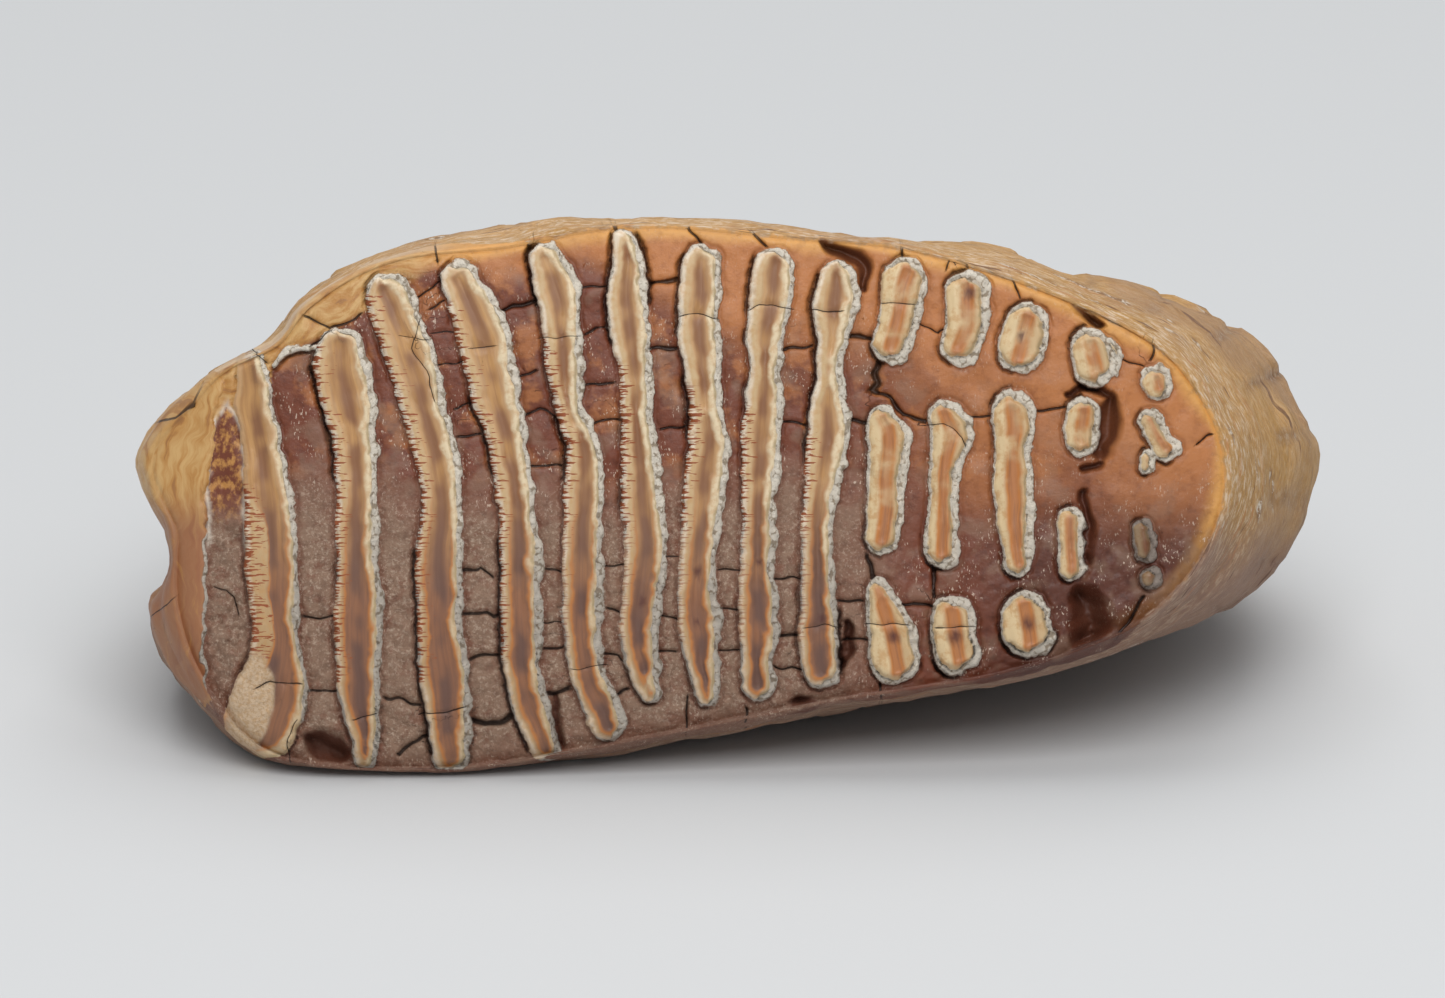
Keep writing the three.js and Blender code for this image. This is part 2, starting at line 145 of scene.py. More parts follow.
# Behind the long plates each plate is ground only as far as its separate pillars
PILLARS = (
    ((35.5, 43, 4.5), (34, 35, 4.1), (32.5, 30, 3.7)),
    ((31, 16, 2.9), (32, 11.5, 4.1), (31.5, 3.5, 3.7), (31, -7.5, 3.7)),
    ((30, -18, 2.4), (32, -24, 4.3), (33.5, -31.5, 5.1)),
    ((47.5, 40.5, 4.5), (47.5, 34.5, 4.5), (46, 30, 3.9)),
    ((43.5, 16, 3.7), (44.5, 12.5, 4.5), (43, 6, 3.3), (42.5, -10, 3.5)),
    ((44.5, -23, 4.1), (45.5, -30, 4.7)),
    ((59.5, 34.5, 4.3), (58, 29, 4.7)),
    ((56.5, 17, 4.5), (56.5, 9.5, 3.7), (56.5, 0, 3.9), (57.5, -12.5, 2.9)),
    ((59, -23, 4.9), (59.5, -26.5, 4.9)),
    ((71.5, 30, 3.9), (72.5, 26, 4.3)),
    ((70, 16.5, 3.7), (70, 11.5, 3.5)),
    ((68, -4, 2.7), (68, -13.5, 2.7)),
    ((84.5, 23.5, 3.1), (85, 22, 2.9)),
    ((83.5, 15.5, 2.4), (86.5, 10, 2.7)),
    ((82, -6, 2.2), (82.5, -10, 2.4)),
    ((82.7, 8, 1.9), (82.7, 6.5, 1.9)),
    ((83.5, -15, 2), (83.5, -16, 2)),
    ((-88.7, 26.2, 0.5), (-86.5, 28.4, 0.5), (-84, 29.4, 0.5), (-80.5, 29.7, 0.5)),
    ((75.5, 31, 0.5), (77, 28, 0.8), (76.5, 24.5, 0.6)),
)

# Cracks in the cement: width, then the points along the crack
CRACKS = (
    # Between the long plates in the upper half, and round the pillars
    (0.5, ((-28, 41.5), (-23.5, 42))),
    (0.6, ((-27.5, 32.5), (-25.5, 33.5), (-24, 33.5))),
    (0.6, ((-28, 22), (-26.5, 22.5), (-22, 23))),
    (0.6, ((-27.5, 14), (-24.5, 15), (-22.5, 15.5), (-21, 15.5))),
    (0.9, ((-44, 37), (-41, 38), (-37.5, 39))),
    (0.6, ((-40.5, 24), (-38, 24.5), (-37, 25))),
    (0.6, ((-40, 16), (-36.5, 17.5), (-33.5, 16.5), (-32, 14.5))),
    (1.0, ((-16.5, 41.5), (-13.5, 42.5), (-9.5, 43))),
    (0.8, ((-16, 29.5), (-9.5, 29.5))),
    (0.7, ((-12.5, 13.5), (-10, 14), (-7.5, 14.5))),
    (0.8, ((11, 29.5), (13.5, 29.5), (17, 30))),
    (0.6, ((11.5, 15.5), (14.5, 15), (16, 14.5))),
    (1.1, ((24.5, 32), (26.5, 32), (29, 31))),
    (1.7, ((30, 26.5), (29.5, 24.5), (30, 22.5), (28.5, 21), (30, 20.5))),
    (1.0, ((30, 20.5), (32.5, 20), (35, 16.5), (39.5, 15.5))),
    (0.4, ((37.5, 34.5), (40, 33.5), (42, 32.5), (43, 33.5))),
    (0.7, ((61.5, 17.5), (63.5, 17.5), (66.5, 18))),
    (0.5, ((48, 16), (52, 16.5))),
    (0.9, ((24.5, 16), (26, 15.5), (28, 14.5))),
    (0.4, ((-60, 39.5), (-58, 41), (-56, 43))),
    (0.4, ((-58, 37.5), (-55.5, 38.5))),
    (0.35, ((-57.5, 32.5), (-53.5, 33))),
    (0.35, ((-56, 26.5), (-52, 27))),
    (0.5, ((-52.5, 18), (-49, 19), (-48, 18), (-47, 15))),
    (0.5, ((-52, 12), (-48, 12.5))),
    (0.6, ((-37.5, 6.5), (-32, 6.5))),
    (0.35, ((76, 28), (79, 27), (82, 26))),
    (0.4, ((93, 11), (94.5, 12), (95.5, 12.5))),
    # Across the upper edge
    (0.5, ((-57, 49.5), (-56.5, 46.5))),
    (1.2, ((-38, 51.5), (-39, 47))),
    (1.1, ((-22, 54.5), (-21, 52.5))),
    (0.8, ((-7, 53.5), (-6, 52), (-4.5, 50.5))),
    (0.7, ((5, 53), (6.5, 51.5), (8, 50))),
    (0.6, ((34.5, 50), (34.5, 47.5))),
    (0.5, ((47.5, 47.5), (47.5, 45.5))),
    (0.4, ((44.5, 47.5), (43.5, 45.5))),
    (0.5, ((56.5, 43), (57.5, 39.5))),
    (0.7, ((84, 31), (84, 29.5), (83.5, 27.5))),
    # In the hollow of the left end, and between the long plates in the lower half
    (0.3, ((-99.8, -17.2), (-97.8, -17.6), (-96.3, -19.4), (-95.6, -22.4))),
    (0.6, ((-82.5, -23), (-79.5, -23.5), (-76, -22.5))),
    (0.6, ((-82, -38), (-79, -37.5), (-76, -37.5))),
    (0.7, ((-66.5, -39), (-63, -39.5), (-60, -40.5))),
    (0.8, ((-64, -50), (-61.5, -48), (-58.5, -46.5))),
    (0.6, ((-58.5, -46.5), (-56.5, -44.5), (-51.5, -43.5))),
    (1.5, ((-51.5, -43.5), (-47, -44), (-44, -43.5), (-41.5, -42.5))),
    (0.6, ((-51.5, -14), (-48.5, -14), (-47.5, -13.5), (-46, -15))),
    (0.8, ((-51, -22.5), (-47, -22), (-45.5, -23), (-43, -22))),
    (0.8, ((-50, -31.5), (-47, -30.5), (-44, -30.5))),
    (0.6, ((-37.5, -14), (-35.5, -13.5), (-32, -14.5))),
    (0.35, ((-35.5, -24), (-32, -24.5))),
    (0.7, ((-35.5, -29), (-32, -29))),
    (1.1, ((-35.5, -38.5), (-33.5, -38), (-30.5, -37))),
    (0.45, ((-24.5, -13.5), (-20, -13))),
    (0.6, ((-23, -21.5), (-21, -22))),
    (0.6, ((-24.5, -30), (-21, -30.5), (-20, -32))),
    (0.8, ((-22, -38.5), (-19, -37.5))),
    (0.4, ((-12, -11), (-9.5, -11))),
    (0.45, ((-13.5, -23), (-9, -23.5))),
    (0.5, ((-13, -30), (-10, -30))),
    (0.4, ((-1, -14), (3.5, -14))),
    (0.5, ((-1, -21.5), (3, -21.5))),
    (0.4, ((-1, -29.5), (3, -29.5))),
    (0.5, ((10, -15.5), (15, -15.5))),
    (1.0, ((10.5, -26.5), (12.5, -26.5), (15, -26.5))),
    (0.5, ((10, -33), (15, -33.5))),
    (0.6, ((22.5, -20), (26.5, -20))),
    (0.5, ((23.5, -27.5), (27.5, -27.5))),
    # Round the lower pillars
    (1.2, ((28, -11), (29, -15.5))),
    (1.1, ((40.5, -12), (41, -19))),
    (0.6, ((35, -20.5), (40.5, -21))),
    (0.7, ((82, -19.5), (80, -22.5), (77.5, -26.5))),
    # Across the lower edge
    (0.6, ((-7.5, -39), (-7.5, -45.5))),
    (0.6, ((4, -41), (4, -44))),
    (0.6, ((30.5, -36.5), (30.5, -40))),
    (0.9, ((-35, -47), (-33.5, -49))),
)

# Cracks that also cut across plates or the golden end
PLATE_CRACKS = (
    (0.7, ((-111.4, 15.2), (-109.5, 15.4), (-106.9, 16.3), (-104.5, 18.4), (-103.3, 21))),
    (0.45, ((-81.8, 35.7), (-77.5, 33.5), (-74.5, 34.3), (-71.6, 36.1))),
    (0.35, ((-77.8, 32.7), (-80.8, 30.2))),
    (0.3, ((-93.1, 29.8), (-90.2, 26.7))),
    (0.35, ((-91.6, -36.7), (-89.2, -35.7), (-83.3, -36.3))),
    (0.25, ((-85.3, -51.2), (-86, -47), (-84.3, -44.3))),
    (0.25, ((-59.8, 35.1), (-61.2, 29.2), (-58.8, 25.3), (-56.9, 19.4))),
    (0.2, ((-63, 31.8), (-58.5, 31.2))),
    (0.2, ((-49.5, 29.5), (-45.5, 29.8))),
    (0.2, ((-36, 31.5), (-29, 32))),
    (0.25, ((-8.5, 35.9), (-5.5, 36.3), (-1.5, 35.5))),
    (0.25, ((4.8, 37.3), (9, 38.2), (12.8, 37.3))),
    (0.25, ((17.6, 36.9), (22.8, 36.7))),
    (0.25, ((31, 38.5), (36.5, 38))),
    (0.3, ((-113.5, -23.5), (-108.4, -19.8))),
    (0.3, ((-72.5, -43), (-69, -42.2))),
    (0.3, ((-59.5, -42.3), (-51.5, -41))),
    (0.2, ((16, -25), (19, -24.6), (22.5, -24.9))),
    (0.2, ((-30, -33.5), (-23.5, -32.5))),
    (0.25, ((39.2, 14.5), (43, 14.9), (46.4, 12), (47, 10.5))),
    (0.25, ((28, -24.5), (36, -24.8))),
    (0.2, ((41.5, -25.3), (48.5, -25.1))),
)

# Fissures that have opened beside plates: the plate's number from the left end, side, from y, to y
OPEN_FISSURES = (
    (3, -1, -50, -10), (4, -1, 5, 20), (4, -1, -50, -8), (5, -1, 38, 50), (5, -1, 4, 16),
    (6, -1, 30, 52), (6, 1, 38, 52), (7, -1, 32, 48), (7, -1, 12, 24), (8, -1, 30, 48),
    (9, -1, 6, 44), (2, -1, 4, 26), (9, 1, -34, -22),
)

# Pits left by broken pillars and lost cement: depth, then points (x, y, half width)
PITS = (
    (4, ((18.8, 50.5, 0.8), (21.5, 49, 1.6), (27, 46.5, 1.7), (27, 41.5, 0.8))),
    (4, ((24, -24, 0.6), (24.3, -28, 1.5), (23, -32.5, 1))),
    (5, ((14.5, -40.3, 1.4), (17.5, -40.8, 1.6))),
    (4.5, ((75.5, 20, 1), (75, 15, 2.6), (74, 9.5, 2.2))),
    (7, ((69.6, -18.5, 2), (71.2, -21, 3.2), (71.8, -25, 4), (70.5, -30, 2.2))),
    (4, ((67.5, 40.5, 0.8), (70, 37.5, 1.5), (73.5, 34, 1))),
    (3.5, ((67.5, 20.8, 0.8), (71.5, 21.8, 1.4), (75.5, 20.5, 0.8))),
    (3, ((70, 6, 0.8), (73.5, 7, 1.1))),
    (3, ((70, 1, 1), (71, -5, 1.3), (70.5, -12, 1.2))),
    (6, ((-81.5, -47.5, 1.6), (-78.5, -48.5, 3), (-75.5, -50, 2.2))),
    (3.5, ((-109, -14.5, 1), (-110.3, -18, 2.3), (-111.5, -22, 1.2))),
    (2.5, ((-33.5, -39, 0.7), (-33, -44, 1.1), (-32, -48.5, 1))),
)

# Dark spots in the dentine: x, y, radius
EYES = (
    (33, -27, 1.5), (45.1, -26.9, 1.7), (59.4, -24.3, 1.6), (-5.3, -14.3, 1), (-5.5, -24.3, 0.8),
    (6.7, -12.4, 0.8), (19, -23.5, 0.9), (-16.5, -20, 1.1), (58.2, 31.8, 1.2), (48, 40.4, 1.4),
)

# How tinted glass would change a colour: painted shade on the cement at the lower right, stains where the
# cement is mottled, enamel and frill of the lower half that are partly duller and partly in painted shade,
# and darker pillars at the lower right
LOW_RIGHT_SHADE_TINT = (0.62, 0.66, 0.74)
MOTTLE_TINT = (0.55, 0.46, 0.42)
LOW_ENAMEL_DIM_AND_SHADE = (0.74, 0.66, 0.58)
LOW_FRILL_GREY_AND_SHADE = (0.68, 0.67, 0.68)
DARK_PILLAR_TINT = (0.4, 0.36, 0.36)

# Fibres are drawn out around the crown: these factors on x, y and z make their patterns, the first
# two in the material and the others in the mesh
FIBRE_STRETCH = (0.09, 0.09, 1)
FINE_FIBRE_STRETCH = (0.2, 0.2, 1)
RIDGE_STRETCH = (0.12, 0.12, 1)
SHEET_STRETCH = (0.22, 0.22, 1)

# Height of the grain that only the material has
GRAIN_HEIGHT = 0.8 * MM

# The photograph is this many pixels wide, and a millimetre of the face takes up so many of them
PHOTO_WIDTH = 1445
PIXELS_PER_MM = 5.1

# Area lights of the stage, in metres: name, size, place
LIGHTS = (("behind_and_above", 1.4, (0.05, 0.5, 1.6)), ("in_front_and_above", 1.2, (0.12, -1.15, 1.5)))
SKY_COLOUR = (0.95, 0.98, 1, 1)
FLOOR_SIZE = 12
SENSOR_WIDTH = 36

# Numbers that the mesh keeps at its points for the material
PLATE_FIELD_NAMES = ("edge", "across", "limb", "pillar", "frill", "barbs", "loose", "band")
FIELD_NAMES = PLATE_FIELD_NAMES + (
    "crack", "on_crack", "cuts_plates", "pit", "eye", "sandy", "orange", "golden", "dull", "edging",
    "outline", "rim", "side_start", "groove",
)


def smooth(low, high, value):
    """0 at low, 1 at high and an even curve between them, whichever of the two is larger."""
    share = np.clip((value - low) / (high - low), 0, 1)
    return share * share * (3 - 2 * share)


def within(low, high, blur, value):
    """1 from low to high, 0 outside, with a soft step at both ends."""
    return smooth(low - blur, low + blur, value) * smooth(high + blur, high - blur, value)


def lumps(places, size, seed):
    """Soft random lumps of one size, from -1 to 1, at places in any number of dimensions up to 3."""
    cells = 48
    lattice = np.random.default_rng(seed).random((cells, cells, cells)) * 2 - 1
    spots = np.zeros((len(places), 3))
    spots[:, :places.shape[1]] = places / size
    corner = np.floor(spots).astype(int)
    share = spots - corner
    share = share * share * (3 - 2 * share)
    total = np.zeros(len(places))
    for step in np.ndindex(2, 2, 2):
        weight = np.prod(np.where(np.array(step) == 1, share, 1 - share), axis=1)
        x, y, z = ((corner + step) % cells).T
        total += weight * lattice[x, y, z]
    return total


def ring_of(outline):
    """Reach of a closed outline around the crown's ellipse, as a smooth function of the turn."""
    x, y = np.array(outline, dtype=float).T
    turns = np.arctan2(y / HALF_WIDTH, x / HALF_LENGTH)
    order = np.argsort(turns)
    turns = turns[order]
    reaches = np.hypot(x / HALF_LENGTH, y / HALF_WIDTH)[order]
    turns = np.concatenate([turns[-3:] - TURN, turns, turns[:3] + TURN])
    reaches = np.concatenate([reaches[-3:], reaches, reaches[:3]])
    slopes = np.gradient(reaches, turns)

    def ring(turn):
        turn = np.arctan2(np.sin(turn), np.cos(turn))
        index = np.searchsorted(turns, turn, side="right") - 1
        width = turns[index + 1] - turns[index]
        s = (turn - turns[index]) / width
        return ((1 + 2 * s) * (1 - s) ** 2 * reaches[index] + s * (1 - s) ** 2 * width * slopes[index]
                + s * s * (3 - 2 * s) * reaches[index + 1] + s * s * (s - 1) * width * slopes[index + 1])

    return ring


face_ring = ring_of(FACE_EDGE)
widest_ring = ring_of(WIDEST_EDGE)
root_ring = ring_of(ROOT_EDGE)


def face_depth(x, y):
    """How far the worn face falls back from a flat one."""
    def fall(place, start, run, depth):
        return depth * np.clip((place - start) / run, 0, 1) ** 2

    return (fall(-x, *FACE_FALLS["left"]) + fall(x, *FACE_FALLS["right"])
            + fall(-y, *FACE_FALLS["lower"]) + fall(y, *FACE_FALLS["upper"]))


def root_depth(x, y):
    """How deep the root side lies: it is domed, and each plate ends in a ridge across it."""
    middle = np.maximum(0, 1 - (x / HALF_LENGTH) ** 2 - (y / HALF_WIDTH) ** 2)
    ridge = ROOT_RIDGE * np.cos(TURN * x / RIB_PITCH)
    return CROWN_DEPTH + DEEPER_AT_BACK * x / HALF_LENGTH + middle * (ROOT_DOME + ridge)


def rib_phase(turn):
    """Counts half ribs around the crown, by length along its ellipse."""
    fine = np.linspace(-math.pi, math.pi, 4001)
    x, y = HALF_LENGTH * np.cos(fine), HALF_WIDTH * np.sin(fine)
    along = np.concatenate([[0], np.cumsum(np.hypot(np.diff(x), np.diff(y)))])
    wrapped = np.arctan2(np.sin(turn), np.cos(turn))
    return np.interp(wrapped, fine, along) / along[-1] * HALF_RIBS


def groove_share(turn):
    """1 in the middle of a groove between two ribs of the side, and 0 on the ribs."""
    return np.exp(-(np.sin(math.pi / 2 * rib_phase(turn)) / 0.3) ** 2)


def side_place(turn, depth):
    """Places on the crown's side, at a turn around it and a depth behind the face's edge."""
    groove = groove_share(turn)
    turn = turn + PLATE_SLANT * (depth / CROWN_DEPTH) * np.sin(turn)
    edge = face_ring(turn)
    widest = np.maximum(widest_ring(turn), edge)
    span = np.stack([HALF_LENGTH * np.cos(turn), HALF_WIDTH * np.sin(turn)], axis=1)
    length = np.hypot(span[:, 0], span[:, 1])
    widest_depth = np.minimum(SHALLOWEST_BULGE + 2.4 * (widest - edge) * length, DEEPEST_BULGE)
    to_root = np.clip((depth - widest_depth) / (CROWN_DEPTH - widest_depth), 0, 1.2)
    to_widest = np.sin(math.pi / 2 * np.clip(depth / widest_depth, 0, 1))
    reach = np.where(depth > widest_depth, widest + (root_ring(turn) - widest) * to_root ** 2,
                     edge + (widest - edge) * to_widest)
    rounding = EDGE_ROUNDING * (1 - np.clip(depth / 2, 0, 1)) ** 2
    rib_fade = smooth(10, 50, depth) * np.minimum(1, 1.3 * np.abs(np.sin(turn)))
    outward = (0.3 - 1.1 * groove) * RIB_HEIGHT * rib_fade - rounding
    place = span * (reach + outward / length)[:, None]
    behind = face_depth(*(span * edge[:, None]).T) * (1 - depth / CROWN_DEPTH)
    return np.column_stack([place, -depth - np.maximum(behind, 0)])


def rest_on_floor(places):
    """Keeps the tooth on the floor: what would sink through it is flattened onto it."""
    up = np.array([0, math.cos(LEAN_BACK), math.sin(LEAN_BACK)])
    height = places @ up + FLOOR_BELOW_FACE * up[1]
    blended = np.where(height <= -FLOOR_BLEND, 0, (height + FLOOR_BLEND) ** 2 / (4 * FLOOR_BLEND))
    settled = np.where(height >= FLOOR_BLEND, height, blended)
    return places + (settled - height)[:, None] * up


def dense_spine(points, gap=0.4):
    """Evenly spaced points along a spine, on a smooth curve through its few points."""
    knots = np.array(points, dtype=float)
    ends = np.vstack([2 * knots[0] - knots[1], knots, 2 * knots[-1] - knots[-2]])
    parts = []
    for a, b, c, d in zip(ends, ends[1:], ends[2:], ends[3:]):
        steps = max(2, int(np.hypot(*(c - b)[:2]) / gap))
        t = np.linspace(0, 1, steps, endpoint=False)[:, None]
        parts.append(0.5 * (2 * b + (c - a) * t + (2 * a - 5 * b + 4 * c - d) * t ** 2
                            + (3 * b - a - 3 * c + d) * t ** 3))
    return np.vstack(parts + [knots[-1:]])


def wavy(spots, size, reach, seed):
    """Moves places on the face a little, so that what is drawn on it gets wavy outlines."""
    shift = np.stack([lumps(spots, size, seed), lumps(spots, size, seed + 1)], axis=1)
    return spots + reach * shift


def frill_raggedness(spots, across):
    """How far the frill reaches out or draws back along a plate's right side."""
    right = smooth(-0.5, 0.5, across)
    return right * (0.55 * lumps(spots, 3.3, 58) + 0.25 * lumps(spots, 1.4, 59))


def nearest_plate(spots):
    """For each place on the face: distance inside the nearest plate's outline, place across the
    plate, distance past the end of its spine, and the plate's number."""
    edge = np.full(len(spots), -20.0)
    across = np.zeros(len(spots))
    past_end = np.zeros(len(spots))
    number = np.zeros(len(spots), dtype=int)
    for index, points in enumerate((FRONT_LIMB,) + PLATES + PILLARS):
        spine = dense_spine(points)
        along = np.gradient(spine[:, :2], axis=0)
        along /= np.hypot(*along.T)[:, None]
        reach = spine[:, 2].max() + 9
        low, high = spine[:, :2].min(axis=0) - reach, spine[:, :2].max(axis=0) + reach
        near = np.flatnonzero(np.all((spots > low) & (spots < high), axis=1))
        if not len(near):
            continue
        offset = spots[near][:, None, :] - spine[None, :, :2]
        inside = spine[None, :, 2] - np.sqrt((offset ** 2).sum(axis=2))
        best = inside.argmax(axis=1)
        rows = np.arange(len(near))
        value = inside[rows, best]
        better = value > edge[near]
        chosen, best, rows = near[better], best[better], rows[better]
        shift = offset[rows, best]
        edge[chosen] = value[better]
        across[chosen] = along[best, 0] * shift[:, 1] - along[best, 1] * shift[:, 0]
        past_end[chosen] = np.abs((along[best] * shift).sum(axis=1))
        number[chosen] = index
    return edge, across, past_end, number


def frill_width(spots, plates):
    """Width of the crumbly frill round a plate: widest on its right."""
    y = spots[:, 1]
    width = 0.3 + 0.9 * plates.right + 0.2 * plates.past + 0.3 * lumps(spots, 5, 42) + plates.raggedness
    width = np.where(plates.pillar, width + 0.15 + 0.3 * plates.past, width)
    on_limb = (0.6 + 0.3 * lumps(spots, 2.2, 43)) * plates.right * within(-37, -7, 2, y)
    width = np.where(plates.limb, on_limb, width)
    on_first = 0.65 * width * plates.right * smooth(-47, -38, y)
    return np.maximum(np.where(plates.first, on_first, width), 0)


def barb_length(spots, plates):
    """Length of the barbs in a plate's left enamel: none on the limb and the pillars."""
    x, y = spots.T
    barbs = plates.left * smooth(-4, 5, 39 - 0.35 * (x + 55) - y) * (1 - plates.past)
    lowest = -36 + 6 * np.clip((x + 60) / 32, 0, 1)
    barbs = barbs * smooth(-3, 3, y - lowest) * ~plates.pillar * ~plates.limb
    barbs = barbs * (1 - 0.58 * smooth(-60, -35, x) * smooth(10, -10, y))
    return np.where(plates.first, 2.4 * plates.left * within(-35, 2, 2, y), barbs)


def fissure_opening(spots, plates):
    """How open the fissure beside a plate is, from 0 to 1."""
    opening = 0.32 * plates.left + 0.16 * plates.right
    for number, side, low, high in OPEN_FISSURES:
        beside = (plates.number == number) * (plates.left if side < 0 else plates.right)
        opening = np.maximum(opening, beside * within(low, high, 2, spots[:, 1]))
    at_pillar = 0.35 * plates.left + 0.12 * plates.right + 0.1 * plates.past
    opening = np.where(plates.pillar, at_pillar, opening)
    patchy = 0.5 + 0.5 * lumps(spots, 7, 41)
    return np.clip(opening * (0.35 + 1.1 * patchy), 0, 1) * ~plates.limb


def enamel_width(spots, plates):
    """Width of a plate's enamel band inside its frill: none on the limb."""
    y = spots[:, 1]
    width = (2.1 + 0.3 * plates.right - 0.6 * smooth(8, -20, y)) * (1 - 0.35 * plates.past)
    on_first = 1.7 * plates.right + 4.2 * plates.left * smooth(4, -6, y) * smooth(-40, -34, y)
    return np.where(plates.limb, 0, np.where(plates.first, on_first, width))


def plate_fields(spots):
    """All that the relief and the material need to know about the nearest plate, at each place."""
    ragged = 0.26 * lumps(spots, 1.7, 51) + 0.16 * lumps(spots, 0.8, 52)
    edge, across, past_end, number = nearest_plate(wavy(spots, 4.5, 0.35, 11))
    plates = SimpleNamespace(across=across, past_end=past_end, number=number)
    plates.raggedness = frill_raggedness(spots, across)
    plates.edge = edge + ragged + plates.raggedness
    plates.wall = smooth(-0.2, 0.45, plates.edge)
    plates.right = smooth(-0.5, 0.5, across)
    plates.left = 1 - plates.right
    plates.past = smooth(0.5, 2.5, past_end)
    plates.limb = number == 0
    plates.first = number == 1
    plates.pillar = number > len(PLATES)
    plates.frill = frill_width(spots, plates)
    plates.barbs = barb_length(spots, plates)
    plates.loose = fissure_opening(spots, plates)
    plates.band = enamel_width(spots, plates)
    return plates


def crack_fields(spots):
    """For each place on the face: distance from the nearest crack, place across it, the crack's half
    width, and whether it also cuts the plates."""
    spots = wavy(spots, 2.2, 0.4, 21)
    distance = np.full(len(spots), 20.0)
    signed = np.full(len(spots), 20.0)
    half_width = np.full(len(spots), 0.3)
    cuts_plates = np.zeros(len(spots))
    for index, (width, points) in enumerate(CRACKS + PLATE_CRACKS):
        points = np.array(points, dtype=float)
        for start, end in zip(points, points[1:]):
            low, high = np.minimum(start, end) - 4, np.maximum(start, end) + 4
            near = np.flatnonzero(np.all((spots > low) & (spots < high), axis=1))
            along = (end - start) / np.hypot(*(end - start))
            offset = spots[near] - start
            forward = np.clip(offset @ along, 0, np.hypot(*(end - start)))
            true = np.hypot(*(offset - forward[:, None] * along).T)
            beside = offset[:, 1] * along[0] - offset[:, 0] * along[1]
            better = true < distance[near]
            chosen = near[better]
            distance[chosen] = true[better]
            signed[chosen] = beside[better]
            half_width[chosen] = width / 2
            cuts_plates[chosen] = index >= len(CRACKS)
    return SimpleNamespace(distance=distance, across=signed, half_width=half_width, cuts_plates=cuts_plates)


def pit_field(spots):
    """Depth of the pits in the face, in millimetres."""
    spots = wavy(spots, 2.5, 0.5, 31)
    depth = np.zeros(len(spots))
    for deep, points in PITS:
        for x, y, radius in dense_spine(points):
            off = np.hypot(spots[:, 0] - x, spots[:, 1] - y) / radius
            depth = np.maximum(depth, deep * smooth(1.35, 0, off))
    return depth


def sandy_patch(spots):
    """Where the first plate's lower end has lost its polish, from 0 to 1."""
    x, y = wavy(spots, 3, 0.8, 67).T
    return smooth(1.1, 0.9, np.hypot((x + 93.5 - 0.15 * (y + 41)) / 4.8, (y + 41) / 10.5))


def eye_field(spots):
    """Dark spots in the dentine, from 0 to 1."""
    eye = np.zeros(len(spots))
    for x, y, radius in EYES:
        eye = np.maximum(eye, smooth(1.3, 0.2, np.hypot(spots[:, 0] - x, spots[:, 1] - y) / radius))
    return eye


def plate_height(spots, plates):
    """Height of the plates: crumbs along their edge, a crest of enamel inside and a sunk middle."""
    y = spots[:, 1]
    edge, across = plates.edge, plates.across
    past_frill = smooth(plates.frill - 0.1, plates.frill + 0.3, edge)
    crumbs = 1.0 + 0.4 * lumps(spots, 1.1, 53) + 0.25 * lumps(spots, 0.6, 54) - 0.3 * plates.pillar
    crest = 1.6 + 0.35 * smooth(5, -30, y) - 0.5 * smooth(1.9, 3.2, edge) + 0.08 * lumps(spots, 3, 55)
    crest = crest + np.where(plates.pillar, 0.8 * smooth(0.5, 3, edge), 0)
    crest = crest - 0.22 * smooth(2.4, 3, edge) * np.exp(-(across / 0.6) ** 2)
    height = plates.wall * (crumbs * (1 - past_frill) + crest * past_frill)
    height = height * (1 - 0.65 * plates.first * smooth(2, 12, y) * smooth(1, -2, across))
    notches = np.exp(-((edge - 0.4) / 0.5) ** 2)
    height = height - 0.35 * np.minimum(plates.barbs, 1) * notches * (1 + lumps(spots, 0.7, 56))
    polished = 0.3 * lumps(spots, 9, 64) + 0.15 * lumps(spots, 4, 65)
    return np.where(plates.limb, 0.35 * height + polished, height)


def cement_height(spots, plates, cracks):
    """Height of the cement: rougher in the lower half, and sunk beside plates and cracks."""
    lower = smooth(5, -30, spots[:, 1])
    apart = np.minimum(-plates.edge, cracks.distance)
    pillow = (0.12 + 0.3 * lower) * (smooth(-0.2, 1.4, apart) - 1)
    rough = 0.3 * lumps(spots, 4.5, 61) + (0.08 + 0.2 * lower) * lumps(spots, 1.6, 62)
    rough = rough + (0.04 + 0.13 * lower) * lumps(spots, 0.8, 63)
    in_hollow = within(-107, -93, 1.5, spots[:, 0]) * within(-34, 4, 3, spots[:, 1])
    rough = rough * (1 + 1.3 * in_hollow) - 0.7 * in_hollow
    return (1 - plates.wall) * (pillow + rough)


def frill_gap(spots, plates):
    """Depth of the gap that parts the frill from the enamel in places."""
    parted = 0.25 + 0.5 * smooth(0.3, 2, plates.past_end) + 0.5 * plates.pillar + 0.7 * lumps(spots, 4, 57)
    parted = np.clip(parted, 0, 1) * (plates.frill > 0.6) * ~plates.limb
    return 0.75 * parted * np.exp(-((plates.edge - plates.frill - 0.12) / 0.3) ** 2)


def crack_depth(plates, cracks):
    """Depth of the cracks: wide ones are deeper, and only those that cut plates show in them."""
    depth = np.exp(-(cracks.distance / (0.6 * cracks.half_width + 0.1)) ** 2)
    depth = depth * (0.6 + 1.7 * cracks.half_width)
    return depth * np.where(cracks.cuts_plates > 0, 0.7, 1 - plates.wall)


